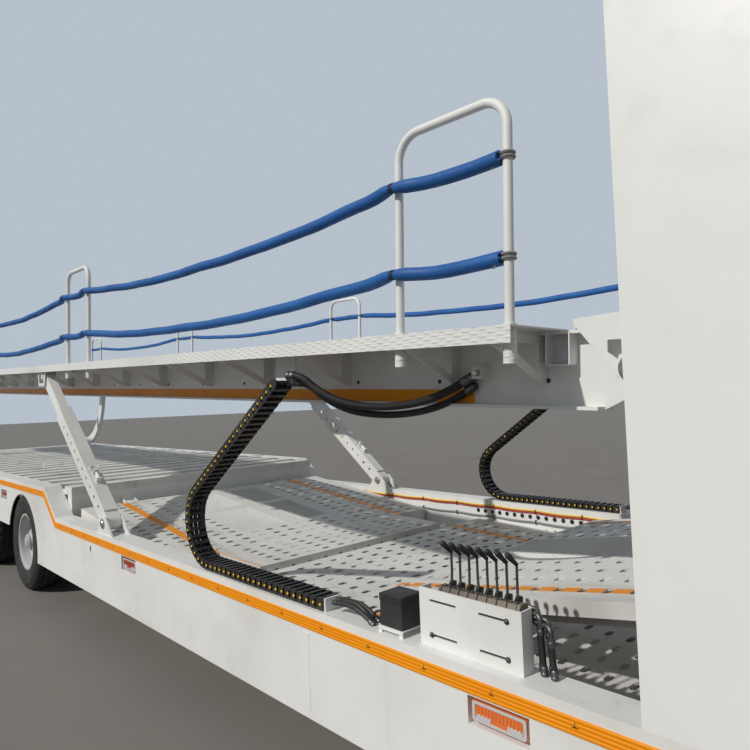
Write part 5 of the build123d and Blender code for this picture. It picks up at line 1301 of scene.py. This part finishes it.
def control_boxes():
    box = Stock()
    stand = Stock()
    glands = Stock()
    for side in (1, -1):
        y0, y1 = sorted(side * y for y in BOX_Y)
        for inset, low, high in BOX_LAYERS:
            box.box((BOX_X0 + inset, y0 + inset, low), (BOX_X1 - inset, y1 - inset, high))
        stand.box((BOX_X0 - 0.004, y0 - 0.002, BOX_Z0 - 0.004), (BOX_X1 + 0.004, y1 + 0.003, BOX_Z0 - 0.0002))
        for y in (y0 - 0.002, y1):
            stand.box((BOX_X0 - 0.004, y, BOX_Z0 - 0.012), (BOX_X1 + 0.004, y + 0.003, BOX_Z0 - 0.003))
            for x in (BOX_X0 - 0.004, BOX_X1 - 0.012):
                stand.box((x, y, LEDGE_Z - 0.0002), (x + 0.016, y + 0.003, BOX_Z0 - 0.010))
        for y in (-0.022, 0.012):
            glands.turned(GLAND_PROFILE, 12, at(BOX_X0 + 0.002, side * 1.173 + y, 0.750, spin("Y", -90)))
        for x in (BOX_X0 + 0.009, BOX_X1 - 0.009):
            for y in (y0 + 0.009, y1 - 0.009):
                glands.turned([(0.0035, -0.001), (0.0035, 0.0008), (0.0024, 0.0014)], 12, at(x, y, BOX_Z1))
    boxes = box.piece("box_shells", BOX_BLACK, "chassis", bevel=0.0022)
    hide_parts("control_boxes")
    stand.piece("box_stands", COVER_WHITE, "chassis", bevel=0.0005)
    glands.piece("box_glands", BOX_BLACK, "chassis", SOFT_EDGE)


def box_cables():
    """Two thin cables per side from the box's glands back towards the carrier, down into the ledge."""
    for side_name, side in SIDES:
        for i, y in enumerate((1.151, 1.185)):
            route = [
                (2.966, side * y, 0.750),
                (2.940, side * y, 0.750),
                (2.915, side * (y - 0.002), 0.735),
                (2.908 - 0.012 * i, side * (y - 0.004), HOSE_FOOT_Z),
            ]
            short_hose(f"box_cable_{side_name}_{i}", route, 0.0042, 0.006)


valve_banks()
bank_fittings()
valve_levers()
valve_plate_details()
control_boxes()
box_cables()


# Lamps
LAMPS = ((3.467, 0.580), (0.912, 0.580), (-1.930, 0.745), (-4.700, 0.745))
LENS_FACE_Y = 1.2382
REAR_LAMP_X = -6.867
REAR_LAMP_Y = 0.960
REAR_LAMP_Z = 0.760
CHAMBERS = (("red", RED_LENS, -0.13), ("amber", AMBER_LENS, 0.13), ("clear", CLEAR_LENS, 0.0))


def side_lamps():
    """A clear housing round each lens, upright prisms on it, and clear corners below."""
    housings = Stock()
    corners = Stock()
    ribs = []
    inner = rounded(0.0795, 0.0200, 0.006)
    outer = rounded(0.0900, 0.0280, 0.009)
    for side in (1, -1):
        for x, z in LAMPS:
            face = outward(x, side * LENS_FACE_Y, z)
            rings = ((inner, 0), (inner, 0.0034), (outer, 0.0034), (outer, 0))
            housings.skin([[(*point, height) for point in line] for line, height in rings], face, True)
            for dx in (-0.052, 0.052):
                corners.plate(rounded(0.0245, 0.0072, 0.003), 0.0024, face @ at(dx, side * 0.0125, 0.0))
            ribs += [face @ at(-0.072 + 0.012 * i, -side * 0.0045, 0.0006) for i in range(13)]
    housings.piece("lamp_housings", CLEAR_LENS, "chassis", SOFT_EDGE, 0.0008)
    corners.piece("lamp_corners", CLEAR_LENS, "chassis", bevel=0.0006)
    rib = Stock()
    rib.plate([(-0.0046, -0.0135), (0.0046, -0.0135), (0.0046, 0.0135), (-0.0046, 0.0135)], 0.0012)
    rib.plate([(-0.0024, -0.0125), (0.0024, -0.0125), (0.0024, 0.0125), (-0.0024, 0.0125)], 0.0022)
    repeated("lamp_ribs", rib, ribs, SIDE_LENS, "chassis")


def rear_lamps():
    """Each rear lamp has a black housing rim, round chambers and a clear one in the middle."""
    rims = Stock()
    chambers = []
    for name, finish, along in CHAMBERS:
        chamber = Stock()
        for side in (1, -1):
            place = at(REAR_LAMP_X, side * (REAR_LAMP_Y + along), REAR_LAMP_Z, spin("Y", -90))
            chamber.turned([(0.050, -0.002), (0.050, 0.003), (0.044, 0.0055), (0.020, 0.0065)], 32, place)
            rims.ring([(0.051, -0.001), (0.058, -0.001), (0.057, 0.004), (0.051, 0.004)], 32, place)
        chambers.append(chamber)
    rims.piece("rear_lamp_rims", BOX_BLACK, "chassis", SOFT_EDGE)
    for (name, finish, _), chamber in zip(CHAMBERS, chambers):
        chamber.piece("rear_lamp_" + name, finish, "chassis", SOFT_EDGE)
    plate = Stock()
    plate.box((REAR_LAMP_X - 0.0065, -0.260, 0.700), (REAR_LAMP_X + 0.0145, 0.260, 0.812))
    plate.piece("blank_plate", PLATE_WHITE, "chassis", bevel=0.0015)


side_lamps()
rear_lamps()


# Cables along the inner wall of each side frame, held by black ties
WEB_CABLES = (
    ("yellow", YELLOW, 0.662, 0.0055),
    ("red", RED_CABLE, 0.648, 0.0050),
    ("grey", GREY_CABLE, 0.584, 0.0070),
)
CABLE_FRONT = 4.2
CABLE_RUN = 4.45
TIE_PITCH = 0.35


def web_cables():
    for color, finish, z, radius in WEB_CABLES:
        stock = Stock()
        for side in (1, -1):
            line = []
            for i in range(91):
                x = CABLE_FRONT - CABLE_RUN * i / 90
                dip = 0.006 * abs(math.sin(math.pi * (x - CABLE_FRONT) / TIE_PITCH))
                out = WEB_Y - radius + 0.0004 - 0.3 * dip
                line.append((x, side * out, z - dip - 0.002 * math.sin(3 * x)))
            stock.tube(line, radius, 8)
        stock.piece("web_cable_" + color, finish, "chassis", SOFT_EDGE)
    tie = Stock()
    tie.box((-0.003, -0.002, -0.016), (0.003, 0.0145, 0.014))
    ties = []
    for side in (1, -1):
        for i in range(13):
            for z in (0.655, 0.584):
                turn = spin("Z", 180 if side > 0 else 0)
                ties.append(at(CABLE_FRONT - TIE_PITCH * i, side * WEB_Y, z, turn))
    repeated("cable_ties", tie, ties, BOX_BLACK, "chassis", 0)


web_cables()


# Bolts, pins and catches
POST_FOOT = Vector((0.500, 0, 0.765))
POST_HEAD = Vector((-0.785, 0, 1.750))
POST_Y = 1.180
EAR_FACE = 0.0575
RING_ANGLES = (0, 1.05, 2.09, 3.14, 4.19, 5.24)
PLATFORM_PINS = (PIVOT.x, 4.310)
PIN_Y = 0.950
COVER_FLANGES = (3.900, 4.260)
COVER_Y = 1.235
NECK_ROW_Y = 1.170
NECK_TOP_Z = 1.138
TAIL_BOLTS = (-6.680, -6.530)
TAIL_BOLTS_Y = 0.992
# Joint plates on the skirt: place along it, foot and top
JOINT_PLATES = ((3.812, 0.310, 0.618), (2.597, 0.330, 0.610))
PLUG_X = 0.296
PLUG_Z = 0.583


def both_faces(x, y, z, reach):
    """Places on the outer and on the inner face of an eye whose middle is at y."""
    side = 1 if y > 0 else -1
    return outward(x, y + side * reach, z), inward(x, y - side * reach, z)


def foot_washers(side_name, side):
    ends = Stock()
    for place in both_faces(POST_FOOT.x, side * POST_Y, POST_FOOT.z, EAR_FACE):
        ends.turned([(0.032, -0.0005), (0.032, 0.004), (0.030, 0.0045)], 24, place)
        ends.turned([(0.020, 0.004), (0.020, 0.009), (0.018, 0.011)], 20, place)
    ends.piece("post_foot_washers_" + side_name, ZINC, "chassis", SOFT_EDGE)


def post_catch(side_name, side):
    """A spring catch with a ring lies on the tube's upper face; local -x runs up the post."""
    run = POST_HEAD - POST_FOOT
    lean = Matrix.Rotation(math.atan2(run.z, -run.x), 4, "Y")
    post = at(POST_FOOT.x, side * POST_Y, POST_FOOT.z, lean)
    catch = Stock()
    catch.box((-0.420, -0.020, 0.0545), (-0.300, 0.020, 0.0585), post)
    for t in (-0.318, -0.400):
        catch.box((t - 0.004, -0.018, 0.0580), (t + 0.004, 0.018, 0.0930), post)
    rod = [(0.0125, 0.0), (0.0125, 0.055), (0.0085, 0.057), (0.0085, 0.105), (0.0060, 0.108)]
    catch.turned(rod, 18, post @ at(-0.312, 0, 0.076, spin("Y", -90)))
    circle = [(0.030 + 0.0030 * math.cos(a), 0.0030 * math.sin(a)) for a in RING_ANGLES]
    catch.ring(circle, 28, post @ at(-0.446, 0, 0.0685, spin("Y", -15)))
    catch.piece("post_catch_" + side_name, COVER_WHITE, "post_outer_" + side_name, SOFT_EDGE)


def pivot_washers():
    """Big washers with a bolted keeper on the pins of the upper platforms."""
    stock = Stock()
    for side in (1, -1):
        for x in PLATFORM_PINS:
            for place in both_faces(x, side * PIN_Y, PIVOT.z, 0.055):
                stock.turned([(0.042, -0.0005), (0.042, 0.006), (0.039, 0.008)], 28, place)
                stock.turned([(0.012, 0.007), (0.012, 0.014), (0.010, 0.016)], 6, place)
    stock.piece("carriage_pin_caps", ZINC, "carriage", SOFT_EDGE)


def frame_bolts():
    """Rows of bolts on the covers' flanges, the neck's cover and the tail beam."""
    places = []
    for side in (1, -1):
        for x in COVER_FLANGES:
            places += [inward(x, side * COVER_Y, 0.80 + 0.18 * i) for i in range(12)]
        places += [at(5.50 + 0.16 * i, side * NECK_ROW_Y, NECK_TOP_Z) for i in range(9)]
        places += [outward(x, side * TAIL_BOLTS_Y, 0.925) for x in TAIL_BOLTS]
    repeated("frame_bolts", hex_bolt(0.016, 0.009), places, ZINC, "chassis")


def skirt_details():
    """Thin plates welded over the joints of the side frames, spot welds, and a plug in the skirt's hole."""
    plates = Stock()
    plugs = Stock()
    welds = []
    skin = SKIRT_Y - 0.0004
    for side in (1, -1):
        for x, low, high in JOINT_PLATES:
            outline = rounded(0.020, (high - low) / 2, 0.006, 2)
            plates.plate(outline, 0.0018, outward(x, side * skin, (low + high) / 2))
            for i in range(5):
                welds.append(outward(x, side * (SKIRT_Y + 0.0014), low + (high - low) * (i + 0.5) / 5))
        plugs.plate(rounded(0.008, 0.019, 0.0078, 6), 0.0014, outward(PLUG_X, side * skin, PLUG_Z))
    plates.piece("joint_plates", WHITE, "chassis", bevel=0.0006)
    weld = lathed([(0.006, -0.0004), (0.0055, 0.0006), (0.002, 0.0010)], 10)
    repeated("spot_welds", weld, welds, WHITE, "chassis")
    plugs.piece("skirt_plugs", RUBBER, "chassis", bevel=0.0005)


for post_name, post_side in SIDES:
    foot_washers(post_name, post_side)
    post_catch(post_name, post_side)
pivot_washers()
frame_bolts()
skirt_details()


# Things on the upper deck
BRACKET_OUT = 1.000
BRACKET_X = -0.272
BRACKET_Z = 0.012
ADAPTER = (-0.528, -0.004)
ADAPTER_OUT = 1.0045
PLUG_PITCH = 0.440
HANDLE_X = -2.700
HANDLE_FOOT = 0.8995
HANDLE_BAR = ((0.525, 0), (0.525, 0.024), (0.533, 0.032), (0.692, 0.032), (0.700, 0.024), (0.700, 0))
END_PLATE = (
    (-0.178, 0.131), (-0.178, 0.146), (-0.035, 0.156), (-0.035, 0.080), (-0.075, 0.080),
    (-0.075, 0.046), (-0.035, 0.016), (-0.035, -0.021), (-0.050, -0.021),
)


def deck_front_details():
    """A strap bracket on each beam's web, and the raised end plate of the walkway."""
    brackets = Stock()
    backs = Stock()
    ends = Stock()
    for side in (1, -1):
        low, high = sorted((side * BEAM_WEB_Y, side * BRACKET_OUT))
        for x in (BRACKET_X, BRACKET_X + 0.076):
            brackets.box((x, low, BRACKET_Z), (x + 0.004, high, BRACKET_Z + 0.100), DECK_FRAME)
        foot = (BRACKET_X + 0.080, high, BRACKET_Z + 0.004)
        brackets.box((BRACKET_X, low, BRACKET_Z), foot, DECK_FRAME)
        web = side * (BEAM_WEB_Y + 0.002)
        backs.box((-0.270, web - 0.0025, 0.014), (-0.194, web + 0.0025, 0.110), DECK_FRAME)
        plate_y = 1.003 if side > 0 else -0.997
        ends.plate(END_PLATE, 0.006, DECK_FRAME @ at(0, plate_y, 0, spin("X", 90)))
        ends.box((-0.178, low, 0.140), (-0.174, high, 0.146), DECK_FRAME)
        for x in (-0.176, -0.040):
            ends.box((x, low, 0.118), (x + 0.005, high, 0.146), DECK_FRAME)
    brackets.piece("strap_brackets", COVER_WHITE, "upper_deck", bevel=0.0006)
    backs.piece("bracket_backs", CLEAR_LENS, "upper_deck", bevel=0.0006)
    ends.piece("walkway_end_plates", WHITE, "upper_deck", bevel=0.0006)


def on_webs(name, stock, spots, out, finish):
    """Repeat a pattern on both main beams' webs, at (x, z) spots of the deck's frame."""
    places = []
    for side in (1, -1):
        for x, z in spots:
            places.append(at(*on_deck(x, side * out, z), DECK_TURN @ spin("X", -90 * side)))
    repeated(name, stock, places, finish, "upper_deck")


def web_plugs():
    """Hexagon adapters in the hose fittings, and black plugs just above the amber strips."""
    on_webs("hose_adapters", hex_bolt(0.022, 0.014), [ADAPTER], ADAPTER_OUT, ZINC)
    plug = lathed([(0.0075, -0.001), (0.0075, 0.0015), (0.0050, 0.003)], 12)
    spots = [(-0.290 - PLUG_PITCH * i, -0.032) for i in range(23)]
    on_webs("web_plugs", plug, spots, BEAM_WEB_Y + 0.0002, RUBBER)


def deck_handles():
    """Bent bars on the bogie deck, to tie loads down."""
    stock = Stock()
    for side in (1, -1):
        stock.tube([(HANDLE_X, side * y, HANDLE_FOOT + up) for y, up in HANDLE_BAR], 0.008, 10)
    stock.piece("deck_handles", COVER_WHITE, "chassis", SOFT_EDGE)


deck_front_details()
web_plugs()
deck_handles()


# Light and ground
SUN_WAY = Vector((0.13, 0.77, -0.62))
SUN_ENERGY = 2.7
SUN_WIDTH = math.radians(1.2)
SUN_COLOR = (1.0, 0.965, 0.90)
SKY_LIGHT = (0.80, 0.86, 0.94, 1)
SKY_STRENGTH = 0.32
SKY_SEEN = (0.47, 0.53, 0.60, 1)


def ground():
    bpy.ops.mesh.primitive_plane_add(size=200, location=(0, 0, 0))
    floor = bpy.context.object
    floor.name = "floor"
    finish = Finish("floor_grey", (0.20, 0.185, 0.17), 0.9)
    finish.patches((0.14, 0.13, 0.12), 0.3, 0.4, 0.7, 0.9, 5)
    floor.data.materials.append(finish.material)


def sky():
    """Soft light, while the camera and polished metal see a plain pale backdrop."""
    world = bpy.data.worlds.new("world")
    bpy.context.scene.world = world
    world.use_nodes = True
    tree = world.node_tree
    light = tree.nodes["Background"]
    light.inputs["Color"].default_value = SKY_LIGHT
    light.inputs["Strength"].default_value = SKY_STRENGTH
    seen = new_node(tree, "ShaderNodeBackground", {"Color": SKY_SEEN})
    rays = new_node(tree, "ShaderNodeLightPath").outputs
    plain = rays["Is Camera Ray"]
    for other in ("Is Glossy Ray", "Is Transmission Ray"):
        either = new_node(tree, "ShaderNodeMath", {0: plain, 1: rays[other]}, operation="MAXIMUM")
        plain = either.outputs["Value"]
    inputs = {0: plain, 1: light.outputs["Background"], 2: seen.outputs["Background"]}
    mix = new_node(tree, "ShaderNodeMixShader", inputs)
    feed(tree, tree.nodes["World Output"].inputs["Surface"], mix.outputs["Shader"])


def sun():
    data = bpy.data.lights.new("sun", "SUN")
    data.energy = SUN_ENERGY
    data.angle = SUN_WIDTH
    data.color = SUN_COLOR
    in_scene("sun", data).rotation_euler = SUN_WAY.to_track_quat("-Z", "Y").to_euler()


ground()
sky()
sun()
bpy.context.scene.view_settings.view_transform = "Standard"
